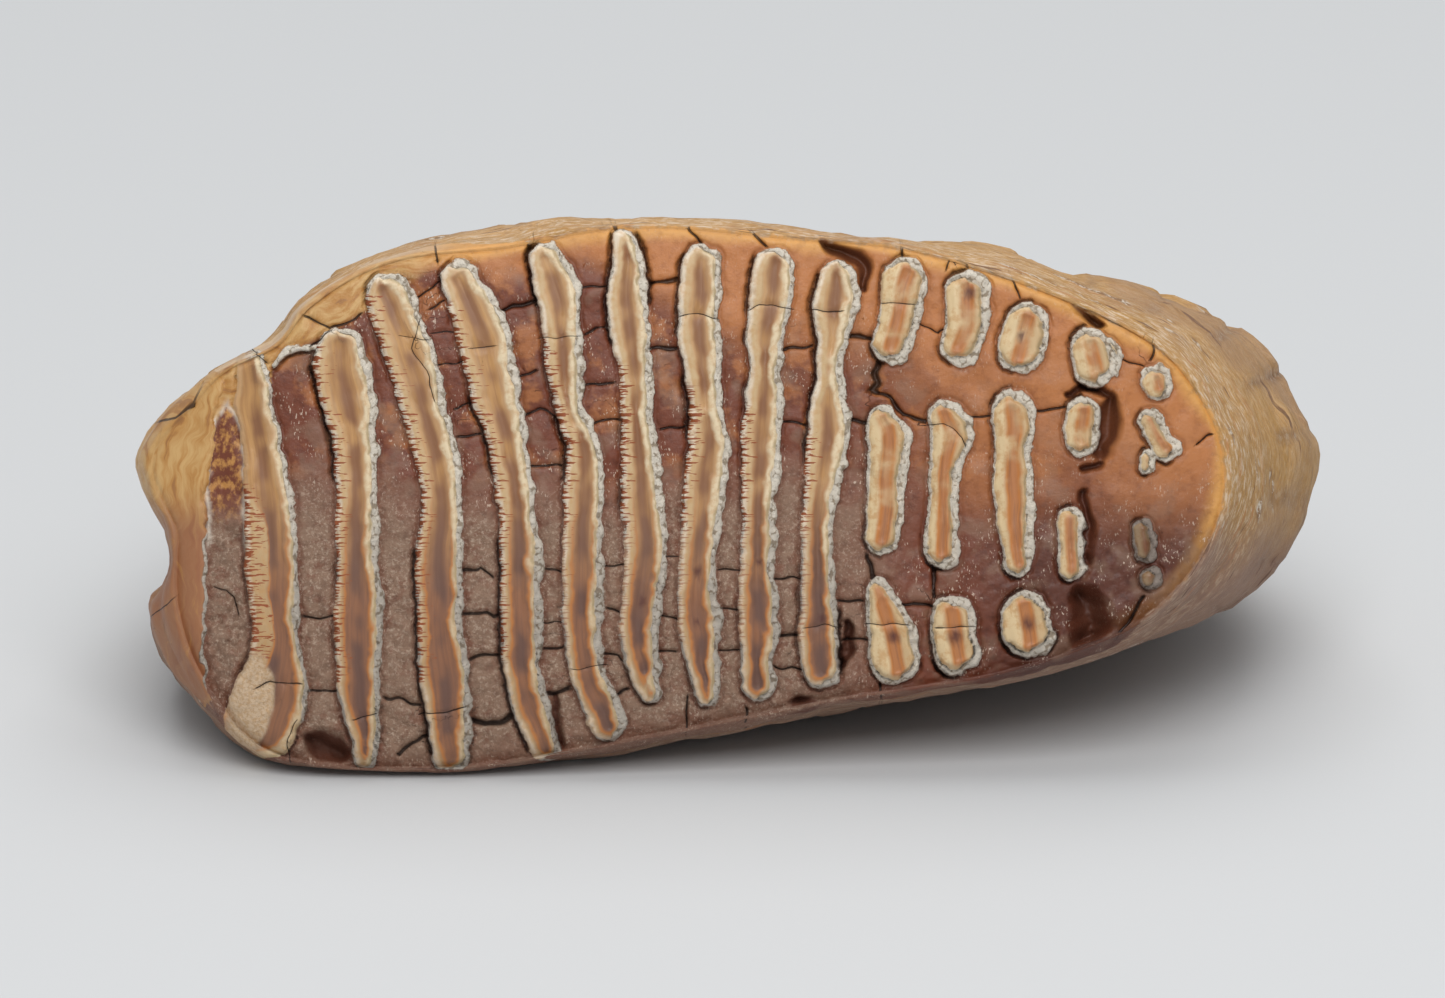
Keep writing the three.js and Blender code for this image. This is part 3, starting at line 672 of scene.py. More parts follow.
def face_relief(spots):
    """Height of the chewing face above its worn level, in millimetres."""
    plates, cracks = plate_fields(spots), crack_fields(spots)
    loose = plates.loose
    fissure = 2.3 * loose * np.exp(-((plates.edge + 0.3 + 0.2 * loose) / (0.2 + 0.17 * loose)) ** 2)
    height = plate_height(spots, plates) + cement_height(spots, plates, cracks)
    height = height - frill_gap(spots, plates) - fissure - crack_depth(plates, cracks)
    height = height - sandy_patch(spots) * (0.7 + 0.25 * lumps(spots, 1.5, 66))
    return height - pit_field(spots) * (1 - 0.85 * plates.wall * plates.pillar)


def cement_zones(spots, rim):
    """Shares of the cement's colours: orange near the upper and right edges, golden at the left
    end, and dull brown in the lower half."""
    x, y = spots.T
    drift = 5 * lumps(spots, 14, 81) + 3 * lumps(spots, 6, 82)
    orange_width = 3 + 0.6 * np.clip(x + 34, 0, 38)
    orange = smooth(1.15 * orange_width + 2, 0.5 * orange_width, rim + 0.5 * drift)
    orange = orange * smooth(-12, 12, y + 0.3 * drift)
    orange = np.maximum(orange, 0.75 * smooth(26, 50, x + drift) * smooth(-8, 14, y + drift))
    lowest_gold = np.where(x < -89, 0, 26.8 + 0.6 * (x + 88))
    golden = smooth(-0.8, 0.8, y - lowest_gold + 0.1 * drift) * smooth(-52, -66, x + drift)
    below_tip = np.maximum(18.2 - y, 0)
    inside = 3.8 * (1 - np.exp(-below_tip / 3.5)) - np.abs(x + 97.8) + 0.5 * lumps(spots, 2.5, 83)
    golden = golden * smooth(0.4, -0.4, inside)
    outline = np.exp(-(inside / 0.45) ** 2) * within(-9, 19, 2, y)
    margin = smooth(35, -5, x) * smooth(6, 1, rim + 0.3 * drift)
    dull = smooth(10, -8, y + drift) * smooth(40, 14, x + drift) * (1 - 0.5 * margin)
    band = 3.2 + 0.3 * drift
    edging = 0.85 * smooth(band, 0.2 * band, rim) * smooth(-30, 0, y)
    return {"orange": orange, "golden": golden, "dull": dull, "edging": edging, "outline": outline}


class ToothForm(bpy.types.PropertyGroup):
    """Sizes that a user would change."""

    columns: bpy.props.IntProperty(
        name="Columns", description="Cells along the chewing face before thinning",
        default=560, min=40)
    rows: bpy.props.IntProperty(
        name="Rows", description="Cells up the chewing face before thinning",
        default=260, min=20)
    side_rows: bpy.props.IntProperty(
        name="Side rows", description="Rows of cells from the chewing face to the root side",
        default=60, min=8)
    face_triangles: bpy.props.IntProperty(
        name="Face triangles", description="Triangles that the chewing face keeps",
        default=142000, min=1000)
    side_triangles: bpy.props.IntProperty(
        name="Side triangles", description="Triangles that the sides and the root side keep",
        default=41000, min=1000)
    side_roughness: bpy.props.FloatProperty(
        name="Side lumps", description="Height of the lumps on the crown's sides",
        default=0.7 * MM, unit="LENGTH")


def paint(red, green, blue):
    """A screen colour as the linear colour that Blender's colour fields hold."""
    def linear(level):
        share = level / 255
        return share / 12.92 if share <= 0.04045 else ((share + 0.055) / 1.055) ** 2.4

    return tuple(linear(level) for level in (red, green, blue))


def colour_field(name, words, red, green, blue):
    """A colour that a user can change."""
    return bpy.props.FloatVectorProperty(
        name=name, description=words, subtype="COLOR", size=3, min=0, max=1,
        default=paint(red, green, blue))


class ToothColours(bpy.types.PropertyGroup):
    """Colours of the tooth's tissues. The crack and frill gap colours are painted shade, and those of the
    pits, the lower half and the underside partly so.
    """

    cement_rim: colour_field("Cement rim", "Polished cement along the face's edge", 218, 160, 86)
    cement_upper: colour_field("Upper cement", "Cement near the upper edge", 184, 118, 68)
    cement_middle: colour_field("Middle cement", "Dark cement across the middle", 114, 60, 40)
    cement_lower: colour_field("Lower cement", "Dull cement in the lower half", 142, 113, 93)
    cement_speck: colour_field("Cement specks", "Pale grains in the cement", 214, 192, 172)
    golden: colour_field("Golden end", "Polished yellow end of the tooth", 180, 128, 68)
    golden_pale: colour_field("Pale swirls", "Pale swirls in the golden end", 202, 162, 106)
    enamel: colour_field("Enamel", "Cream enamel", 226, 210, 188)
    enamel_gold: colour_field("Golden enamel", "Inner half of the left enamel band", 198, 168, 126)
    frill: colour_field("Frill", "Crumbly outer skin of the enamel", 230, 220, 204)
    # Painted shade in the gaps between the frill's crumbs
    frill_gap_shade: colour_field("Frill gaps", "Between the crumbs of the frill", 152, 134, 112)
    clear_band: colour_field("Clear band", "Yellow band inside the right frill", 222, 202, 168)
    dentine: colour_field("Dentine", "Streaky dentine", 188, 142, 90)
    # The lower dentine and the lower core are partly their own duller tone and partly painted shade of the
    # lower half
    dentine_low: colour_field("Lower dentine", "Dentine in the lower half", 144, 98, 70)
    dentine_core: colour_field("Dentine core", "Grey streak in the middle of a plate", 132, 90, 64)
    dentine_core_low: colour_field("Lower core", "Core in the lower half", 102, 74, 64)
    dentine_line: colour_field("Dentine line", "Line between dentine and enamel", 186, 116, 54)
    limb_low: colour_field("Lower front end", "Mauve-brown lower half of the golden end", 150, 98, 70)
    wedge: colour_field("Wedge", "Dark red cement that points up into the golden end", 112, 58, 38)
    hollow_band: colour_field("Hollow band", "Worn strip between clear band and frill", 172, 152, 116)
    pillar_core: colour_field("Pillar core", "Dentine of the separate pillars", 176, 116, 72)
    eye: colour_field("Dark spots", "Dark spots in the dentine", 84, 46, 40)
    sandy: colour_field("Sandy patch", "Chipped patch at the lower left", 222, 194, 162)
    barb: colour_field("Barbs", "Red-brown barbs that reach into the enamel", 146, 78, 44)
    side: colour_field("Side", "Fibrous side", 194, 152, 102)
    side_pale: colour_field("Pale fibres", "Palest fibres of the side", 222, 200, 174)
    side_gold: colour_field("Golden side", "Yellow patches of the side", 182, 138, 78)
    # The underside's brown is partly its own tone and partly painted shade
    side_brown: colour_field("Brown side", "Underside of the tooth", 142, 112, 98)
    # This colour also paints shade in the grooves between the ribs
    side_dark: colour_field("Dark side", "Fissures and stains of the side", 100, 66, 46)
    # Painted shade at the bottom of cracks and open fissures
    crack: colour_field("Crack", "Bottom of cracks", 36, 22, 16)
    # The dark inside of the pits is partly painted shade
    pit: colour_field("Pit", "Inside of the pits", 92, 48, 32)
    boss: colour_field("Boss", "Pale left part of a pillar", 214, 188, 146)


def select_only(thing):
    """Makes one object the only selected one and the active one."""
    bpy.ops.object.select_all(action="DESELECT")
    thing.select_set(True)
    bpy.context.view_layer.objects.active = thing


def column(items, name, kind, size=1):
    """One property of all points, edges, corners or faces of a mesh, as an array."""
    values = np.empty(len(items) * size, dtype=kind)
    items.foreach_get(name, values)
    return values if size == 1 else values.reshape(-1, size)


def vertex_places(mesh):
    """Places of a mesh's points, in the mesh's own units."""
    return column(mesh.vertices, "co", np.float32, 3).astype(np.float64)


def store(mesh, name, values):
    """Keeps one number at each point of a mesh, for its material."""
    old = mesh.attributes.get(name)
    if old:
        mesh.attributes.remove(old)
    field = mesh.attributes.new(name, "FLOAT", "POINT")
    field.data.foreach_set("value", np.ascontiguousarray(values, dtype=np.float32))


def read(mesh, name):
    """The numbers that were kept at the points of a mesh."""
    return column(mesh.attributes[name].data, "value", np.float32).astype(np.float64)


def add_blank(form):
    """A closed block: its front is the chewing face, its walls are the sides, its back the roots."""
    bpy.ops.object.select_all(action="DESELECT")
    bpy.ops.mesh.primitive_grid_add(
        x_subdivisions=form.columns, y_subdivisions=form.rows, size=BLANK_SIZE)
    blank = bpy.context.object
    blank.name = blank.data.name = "molar_tooth"
    bpy.ops.object.mode_set(mode="EDIT")
    bpy.ops.mesh.select_all(action="SELECT")
    bpy.ops.mesh.extrude_region_move(TRANSFORM_OT_translate={"value": (0, 0, -BLANK_SIZE)})
    bpy.ops.mesh.select_mode(type="EDGE")
    bpy.ops.mesh.select_all(action="DESELECT")
    bpy.ops.object.mode_set(mode="OBJECT")
    mesh = blank.data
    levels = vertex_places(mesh)[:, 2][column(mesh.edges, "vertices", np.int32, 2)]
    mesh.edges.foreach_set("select", levels[:, 0] != levels[:, 1])
    bpy.ops.object.mode_set(mode="EDIT")
    bpy.ops.mesh.subdivide(number_cuts=form.side_rows - 1)
    bpy.ops.mesh.select_mode(type="VERT")
    bpy.ops.mesh.select_all(action="SELECT")
    bpy.ops.mesh.normals_make_consistent(inside=False)
    bpy.ops.object.mode_set(mode="OBJECT")
    return blank


def distance_to_edge(spots, edge_spots):
    """Distance of each place on the face from the face's edge."""
    tree = kdtree.KDTree(len(edge_spots))
    for index, (x, y) in enumerate(edge_spots):
        tree.insert((x, y, 0), index)
    tree.balance()
    return np.array([tree.find((x, y, 0))[2] for x, y in spots])


def shape_crown(mesh):
    """Gives the blank the form of the crown, and keeps where each point lies on the tooth."""
    a, b, level = vertex_places(mesh).T
    a, b = np.clip(a, -1, 1), np.clip(b, -1, 1)
    # The blank's square front becomes a disc, whose rim is the face's edge
    x = a * np.sqrt(1 - b * b / 2)
    y = b * np.sqrt(1 - a * a / 2)
    inward = np.minimum(np.hypot(x, y), 1)
    turn = np.arctan2(y, x)
    share = np.clip(-level / BLANK_SIZE, 0, 1)
    on_edge = inward > 1 - RIM_SLACK
    is_face = share < END_SLACK
    is_root = (share > 1 - END_SLACK) & ~on_edge
    last = side_place(turn, np.full(len(turn), CROWN_DEPTH))
    root_edge_depth = root_depth(last[:, 0], last[:, 1])
    depth = root_edge_depth * share ** ROW_CROWDING
    side = side_place(turn, depth)
    front_edge = side_place(turn, np.zeros(len(turn)))
    smooth_reach = (1 + (face_ring(turn) - 1) * inward ** 2) / face_ring(turn)
    face = front_edge[:, :2] * (inward * smooth_reach)[:, None]
    face = np.column_stack([face, -face_depth(*face.T)])
    root = side_place(turn, root_edge_depth)[:, :2] * inward[:, None]
    root = np.column_stack([root, -root_depth(*root.T)])
    places = np.where(is_face[:, None], face, side)
    places = np.where(is_root[:, None], root, places)
    rim = np.where(is_face, distance_to_edge(places[:, :2], front_edge[on_edge & is_face, :2]), 0)
    store(mesh, "rim", np.where(is_face, rim, -depth))
    store(mesh, "root", is_root.astype(float))
    store(mesh, "groove", groove_share(turn) * smooth(6, 25, depth))
    upper_right = smooth(0.15, 0.35, np.cos(turn - math.radians(40)))
    left_end = smooth(-0.75, -0.92, np.cos(turn))
    runs_over = FACE_RUNS_OVER + FURTHER_AT_LEFT * left_end
    store(mesh, "side_start", runs_over * (1 - upper_right))
    return places


def turn_about_x(places, angle):
    """Places or directions turned about the x axis, anticlockwise as seen from the right."""
    x, y, z = places.T
    return np.column_stack([x, y * math.cos(angle) - z * math.sin(angle),
                            y * math.sin(angle) + z * math.cos(angle)])


origin_shift = np.zeros(3)


def to_shared(places):
    """Places of the tooth's frame in metres of the shared frame."""
    return (turn_about_x(places, FACE_TILT) + origin_shift) * MM


def to_tooth(vectors):
    """Turns directions of the shared frame into the tooth's frame."""
    return turn_about_x(vectors, -FACE_TILT)


def write_places(mesh, places):
    """Writes places of the tooth's frame into a mesh."""
    mesh.vertices.foreach_set("co", to_shared(places).astype(np.float32).ravel())
    mesh.update()


def find_origin_shift(places):
    """Where the CAD solid's box puts the middle of the chewing face, in millimetres."""
    turned = turn_about_x(places, FACE_TILT)
    low, high = (np.array(corner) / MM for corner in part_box("molar"))
    shift = (low + high) / 2 - (turned.min(axis=0) + turned.max(axis=0)) / 2
    shift[2] = low[2] + FLOOR_BELOW_FACE * math.cos(LEAN_BACK)
    return shift


def face_height(spots, rim):
    """Relief of the face, rounded off along its edge and most of all along the lower one."""
    low = smooth(5, -20, spots[:, 1])
    rim_share = smooth(0, 1.6, rim)
    rounding = 0.6 * (1 - low) * (1 - rim_share) ** 2 + 1.4 * low * (1 - smooth(0, 5, rim)) ** 2
    return face_relief(spots) * rim_share - rounding


def side_bumps(places, rim, root, lump_height):
    """Lumps, fibres and growth sheets of the crown's sides, and the broken root side."""
    fibres = places * RIDGE_STRETCH
    bumps = lump_height * lumps(places, 11, 71) + 0.3 * lumps(places, 4, 72)
    bumps = bumps + 0.35 * lumps(fibres, 2.2, 73) + 0.15 * lumps(fibres, 1.1, 74)
    sheets = smooth(-0.06, 0.06, lumps(places * SHEET_STRETCH, 9, 77)) - 0.5
    bumps = bumps + sheets * smooth(-6, -12, rim)
    bumps = bumps + root * (1.5 * lumps(places, 6, 75) + 0.7 * lumps(places, 2.5, 76))
    return bumps * np.where(root > 0.5, 1, smooth(0, 3, -rim))


def roughen(mesh, places, form):
    """Adds the relief of the face, and the fibres and lumps of all other sides."""
    rim, root = read(mesh, "rim"), read(mesh, "root")
    normals = to_tooth(column(mesh.vertex_normals, "vector", np.float32, 3).astype(np.float64))
    on_face, aside = rim > 0, rim <= 0
    bumps = side_bumps(places[aside], rim[aside], root[aside], form.side_roughness / MM)
    moved = places.copy()
    moved[on_face, 2] += face_height(places[on_face, :2], rim[on_face])
    moved[aside] += normals[aside] * bumps[:, None]
    return moved


def thin_out(tooth, face_triangles, side_triangles):
    """Merges cells where the form is plain: first on the sides and the root side, then on the face."""
    mesh = tooth.data
    for on_face, wanted in ((False, side_triangles), (True, face_triangles)):
        corners = column(mesh.loops, "vertex_index", np.int32)
        starts = column(mesh.polygons, "loop_start", np.int32)
        sizes = column(mesh.polygons, "loop_total", np.int32)
        rim = np.maximum.reduceat(read(mesh, "rim")[corners], starts)
        chosen = (rim > 0) == on_face
        select_only(tooth)
        bpy.ops.object.mode_set(mode="EDIT")
        bpy.ops.mesh.select_mode(type="FACE")
        bpy.ops.mesh.select_all(action="DESELECT")
        bpy.ops.object.mode_set(mode="OBJECT")
        mesh.polygons.foreach_set("select", chosen)
        bpy.ops.object.mode_set(mode="EDIT")
        bpy.ops.mesh.decimate(ratio=min(1, wanted / (sizes[chosen] - 2).sum()))
        bpy.ops.object.mode_set(mode="OBJECT")


def finish_fields(mesh):
    """Works out the fields that the material reads, at the points that are left."""
    spots = to_tooth(vertex_places(mesh) / MM - origin_shift)[:, :2]
    plates, cracks = plate_fields(spots), crack_fields(spots)
    fields = {name: getattr(plates, name) for name in PLATE_FIELD_NAMES}
    fields.update(cement_zones(spots, read(mesh, "rim")))
    beyond_end = cracks.distance - np.abs(cracks.across)
    fields["on_crack"] = (1 - smooth(0.15, 0.6, beyond_end)) * (cracks.distance < 3)
    fields["crack"] = cracks.across / cracks.half_width
    fields["cuts_plates"] = cracks.cuts_plates
    fields["pit"] = pit_field(spots)
    fields["eye"] = eye_field(spots)
    fields["sandy"] = sandy_patch(spots)
    for name, values in fields.items():
        store(mesh, name, values)


class MOLAR_OT_make_tooth(bpy.types.Operator):
    """Model the tooth as one closed piece"""

    bl_idname = "molar.make_tooth"
    bl_label = "Make tooth"

    def execute(self, context):
        global origin_shift
        form = context.scene.molar_form
        tooth = add_blank(form)
        mesh = tooth.data
        places = rest_on_floor(shape_crown(mesh))
        origin_shift = find_origin_shift(places)
        write_places(mesh, places)
        write_places(mesh, rest_on_floor(roughen(mesh, places, form)))
        thin_out(tooth, form.face_triangles, form.side_triangles)
        finish_fields(mesh)
        select_only(tooth)
        bpy.ops.object.shade_smooth()
        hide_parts("molar")
        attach(tooth, "root")
        return {"FINISHED"}


def connect(socket, value):
    """Links what a node gives to a socket, or sets the socket to a plain number, place or colour."""
    if isinstance(value, Value):
        socket.id_data.links.new(value.socket, socket)
    elif socket.type == "RGBA":
        socket.default_value = (*value, 1)
    else:
        socket.default_value = value


def add_node(tree, kind, inputs, output=0, **settings):
    """Adds a node with its settings and inputs, and gives one of its outputs."""
    node = tree.nodes.new(kind)
    for name, setting in settings.items():
        setattr(node, name, setting)
    for name, value in inputs.items():
        connect(node.inputs[name], value)
    return Value(node.outputs[output])


class Value:
    """What a node gives: a number, a place or a colour. Each sign between numbers adds the node
    that works it out, so sums in a material are written as plain sums."""

    def __init__(self, socket):
        self.socket = socket
        self.tree = socket.id_data

    def math(self, operation, *numbers):
        return add_node(self.tree, "ShaderNodeMath", dict(enumerate(numbers)), operation=operation)

    def __add__(self, other):
        return self.math("ADD", self, other)

    def __sub__(self, other):
        return self.math("SUBTRACT", self, other)

    def __rsub__(self, other):
        return self.math("SUBTRACT", other, self)

    def __mul__(self, other):
        return self.math("MULTIPLY", self, other)

    def __abs__(self):
        return self.math("ABSOLUTE", self)

    def ramp(self, low, high):
        """0 at low, 1 at high and an even curve between them, whichever of the two is larger."""
        inputs = {"Value": self, "From Min": low, "From Max": high}
        return add_node(self.tree, "ShaderNodeMapRange", inputs, interpolation_type="SMOOTHSTEP")

    def band(self, low, high, blur):
        """1 between low and high, and 0 outside."""
        return self.ramp(low - blur, low + blur) * self.ramp(high + blur, high - blur)


def either(first, second):
    """The larger of two shares."""
    return first.math("MAXIMUM", first, second)


class Shades:
    """A material that knows the place on the tooth, in millimetres of the tooth's own frame."""

    def __init__(self, name):
        self.material = bpy.data.materials.new(name)
        self.material.use_nodes = True
        self.tree = self.material.node_tree
        self.shader = self.tree.nodes["Principled BSDF"]
        self.place = self.tooth_place()
        self.x = self.add("ShaderNodeSeparateXYZ", {0: self.place}, "X")
        self.y = self.add("ShaderNodeSeparateXYZ", {0: self.place}, "Y")

    def add(self, kind, inputs, output=0, **settings):
        return add_node(self.tree, kind, inputs, output, **settings)

    def tooth_place(self):
        inputs = {
            "Vector": self.add("ShaderNodeTexCoord", {}, "Object"),
            "Location": tuple(origin_shift * MM),
            "Rotation": (FACE_TILT, 0, 0),
            "Scale": (MM, MM, MM),
        }
        return self.add("ShaderNodeMapping", inputs, vector_type="TEXTURE")

    def field(self, name):
        """Numbers that the mesh keeps at its points."""
        return self.add("ShaderNodeAttribute", {}, "Fac", attribute_name=name)

    def mix(self, share, first, second, blend="MIX"):
        inputs = {0: share, 6: first, 7: second}
        return self.add("ShaderNodeMix", inputs, 2, data_type="RGBA", blend_type=blend)

    def mix_value(self, share, first, second):
        return self.add("ShaderNodeMix", {0: share, 2: first, 3: second})

    def filtered(self, colour, tint):
        """A colour as it looks through a tinted glass."""
        return self.mix(1, colour, tint, "MULTIPLY")

    def noise(self, scale, detail=2, roughness=0.5, place=None):
        inputs = {"Vector": place or self.place, "Scale": scale, "Detail": detail, "Roughness": roughness}
        return self.add("ShaderNodeTexNoise", inputs, "Fac")

    def cells(self, scale):
        return self.add("ShaderNodeTexVoronoi", {"Vector": self.place, "Scale": scale}, "Distance")

    def stretched(self, x, y, z):
        """The place on the tooth, for a pattern that is drawn out where a factor is small."""
        return self.add("ShaderNodeVectorMath", {0: self.place, 1: (x, y, z)}, operation="MULTIPLY")

    def streaks(self, first, second, along_first=0.9, along_second=0.05):
        """Fine streaks that run along the second coordinate and change quickly along the first."""
        inputs = {0: first * along_first, 1: second * along_second}
        return self.noise(1.4, 4, 0.6, self.add("ShaderNodeCombineXYZ", inputs))

    def swirls(self, past_edge, along, along_share):
        """Wavy swirls that follow an edge, as in polished dentine."""
        return self.streaks(past_edge + self.noise(0.1) * 10, along, 0.42, along_share)


def golden_colour(shades, colours, fields):
    """Polished yellow with pale and dark swirls, paler where it turns over the left edge."""
    swirls = shades.swirls(fields.rim, shades.x + shades.y, 0.09)
    colour = shades.mix(swirls.ramp(0.38, 0.62), colours.golden, colours.golden_pale)
    colour = shades.mix(swirls.ramp(0.4, 0.3) * 0.5, colour, colours.dentine_core)
    return shades.mix(fields.rim.ramp(0.5, -4) * 0.5, colour, colours.side_pale)


def clean_cement(shades, colours, fields):
    """Orange by the edge, mahogany with copper patches in the middle, dull and brown below, with painted
    shade at the lower right and partly painted shade beside the plates.
    """
    x, y = shades.x, shades.y
    colour = shades.mix(fields.orange, colours.cement_middle, colours.cement_upper)
    copper = shades.noise(0.11, 4, 0.6).ramp(0.5, 0.62) * (1 - fields.dull) * y.ramp(-5, 15)
    colour = shades.mix(copper * 0.6, colour, colours.cement_upper)
    colour = shades.mix(fields.dull, colour, colours.cement_lower)
    # Painted shade: the cement at the lower right turns darker and cooler
    low_right_shade = x.ramp(42, 62) * y.ramp(4, -12)
    colour = shades.mix(low_right_shade, colour, shades.filtered(colour, LOW_RIGHT_SHADE_TINT))
    # Partly painted shade: the sunk cement beside the plates turns darker and redder
    redder_and_shaded_beside_plates = fields.edge.ramp(-1.7, -0.3) * (fields.dull * 0.35 + 0.2)
    return shades.mix(redder_and_shaded_beside_plates, colour, colours.cement_middle)


def soiled_cement(shades, colours, fields):
    """Cement with dust and grime in its dull part, an orange rim, mottling, a film and specks."""
    colour = clean_cement(shades, colours, fields)
    dust = shades.noise(1.3, 4, 0.75).ramp(0.5, 0.64) * fields.dull
    colour = shades.mix(dust * 0.42, colour, colours.cement_speck)
    grime = shades.noise(0.34, 4, 0.7).ramp(0.5, 0.36) * fields.dull
    colour = shades.mix(grime * 0.5, colour, colours.cement_middle)
    colour = shades.mix(fields.edging, colour, colours.cement_rim)
    mottled = shades.noise(0.5, 5, 0.65).ramp(0.45, 0.75) * (0.8 - fields.orange * 0.35)
    colour = shades.mix(mottled, colour, shades.filtered(colour, MOTTLE_TINT))
    unpolished = 1 - fields.orange * 0.8
    film = shades.noise(0.13, 3).ramp(0.5, 0.62) * unpolished
    colour = shades.mix(film * 0.4, colour, colours.cement_lower)
    needles = shades.noise(1, 2, 0.6, shades.stretched(2.6, 1.1, 1)).ramp(0.59, 0.66)
    specks = needles * shades.noise(0.2, 3).ramp(0.47, 0.62) * unpolished
    return shades.mix(specks * (0.75 - fields.dull * 0.5), colour, colours.cement_speck)


def cement_colour(shades, colours, fields):
    """All the cement, with the golden end and the dark wedge that points up into it."""
    x, y = shades.x, shades.y
    streaks = shades.streaks(x, y, 0.5, 0.36).ramp(0.44, 0.64)
    wedge = shades.mix(streaks * 0.6, colours.wedge, colours.cement_rim)
    in_wedge = x.ramp(-92, -94) * y.ramp(-7, 2)
    colour = shades.mix(in_wedge, soiled_cement(shades, colours, fields), wedge)
    colour = shades.mix(fields.golden, colour, golden_colour(shades, colours, fields))
    return shades.mix(fields.outline * 0.75, colour, colours.frill)


def dentine_colour(shades, colours, fields, core):
    """Streaky dentine with a core in its middle and a line where the enamel begins."""
    dentine = shades.mix(fields.below, colours.dentine, colours.dentine_low)
    colour = shades.mix(fields.streaks.ramp(0.38, 0.68) * 0.42, dentine, core)
    by_enamel = fields.past_band.ramp(1.5, 0.1) * (0.35 - fields.below * 0.3)
    colour = shades.mix(by_enamel, colour, colours.clear_band)
    middle = abs(fields.across + fields.wander).ramp(1.9, 0.4) * shades.noise(0.12, 1).ramp(0.3, 0.55)
    colour = shades.mix(middle * 0.9, colour, core)
    line = fields.past_band.band(0.1, 0.7, 0.35) * (fields.below * 0.65 + 0.2)
    return shades.mix(line, colour, colours.dentine_line)


def enamel_colour(shades, colours, fields):
    """Cream and gold on the left of a plate, clear yellow on the right, and dimmer in the lower half, which
    is partly its own duller tone and partly painted shade.
    """
    colour = shades.mix(fields.edge.ramp(0.6, 1.5), colours.enamel, colours.enamel_gold)
    colour = shades.mix(fields.right, colour, colours.clear_band)
    # Partly painted shade: the enamel dims in the lower half
    colour = shades.mix(fields.below * 0.7, colour, shades.filtered(colour, LOW_ENAMEL_DIM_AND_SHADE))
    return shades.mix(shades.noise(0.8, 3, 0.6).ramp(0.4, 0.7) * 0.5, colour, colours.dentine)


def with_pillars(shades, colours, fields, colour, core):
    """Adds the separate pillars: a pale boss round a small core of their own."""
    boss = shades.mix(fields.across.ramp(-1.8, 1.2), colours.boss, colours.enamel_gold)
    mottle = shades.noise(0.45, 4, 0.65) + fields.streaks * 0.3
    boss = shades.mix(mottle.ramp(0.6, 0.8) * 0.65, boss, colours.dentine)
    colour = shades.mix(fields.pillar, colour, boss)
    off_spine = abs(fields.across + fields.wander * 0.7)
    uneven = shades.noise(0.22) + shades.y.ramp(8, -18) * 0.3
    in_core = off_spine.ramp(2.1, 0.9) * fields.inner.ramp(1, 2.4) * uneven.ramp(0.2, 0.6)
    own_core = shades.mix(off_spine.band(0.8, 1.4, 0.4), colours.pillar_core, colours.dentine_line)
    own_core = shades.mix(fields.streaks.ramp(0.45, 0.7) * 0.6, own_core, core)
    return shades.mix(in_core * fields.pillar, colour, own_core)


def front_limb_colour(shades, colours, fields, core):
    """The front limb at the left end: golden swirls above and mauve-brown ones below."""
    swirls = shades.swirls(fields.edge, shades.y, 0.06)
    colour = shades.mix(swirls.ramp(0.36, 0.64), colours.golden, colours.golden_pale)
    colour = shades.mix(swirls.ramp(0.44, 0.34) * 0.45, colour, core)
    low = shades.mix(swirls.ramp(0.55, 0.68) * 0.6, colours.limb_low, colours.golden)
    return shades.mix(shades.y.ramp(4, -8) * 0.85, colour, low)


def frill_colour(shades, colours, fields):
    """Pale crumbs with painted shade in the gaps between them, greyer and darker in the lower half, partly
    their own tone and partly painted shade.
    """
    # The darker gaps between the crumbs are painted shade
    grain = shades.cells(0.95) - shades.noise(1.1, 3, 0.6) * 0.8
    colour = shades.mix(grain.ramp(0.15, 0.42) * 0.85, colours.frill, colours.frill_gap_shade)
    # Partly painted shade: the frill turns greyer and darker in the lower half
    greyer_and_shaded_below = shades.y.ramp(8, -25) * (1 - fields.pillar * 0.6)
    return shades.mix(greyer_and_shaded_below, colour, shades.filtered(colour, LOW_FRILL_GREY_AND_SHADE))


def barb_share(shades, fields):
    """Barbs that reach from the cement into the left enamel."""
    comb_place = shades.add("ShaderNodeCombineXYZ", {0: fields.across * 0.16, 1: shades.y})
    comb = shades.noise(1.9, 2, 0.6, comb_place)
    reach = (comb * 17 - 8.1) * (fields.barbs * 0.55 + 0.45)
    return (reach - fields.edge).ramp(-0.1, 0.2) * fields.barbs.ramp(0.2, 0.6)


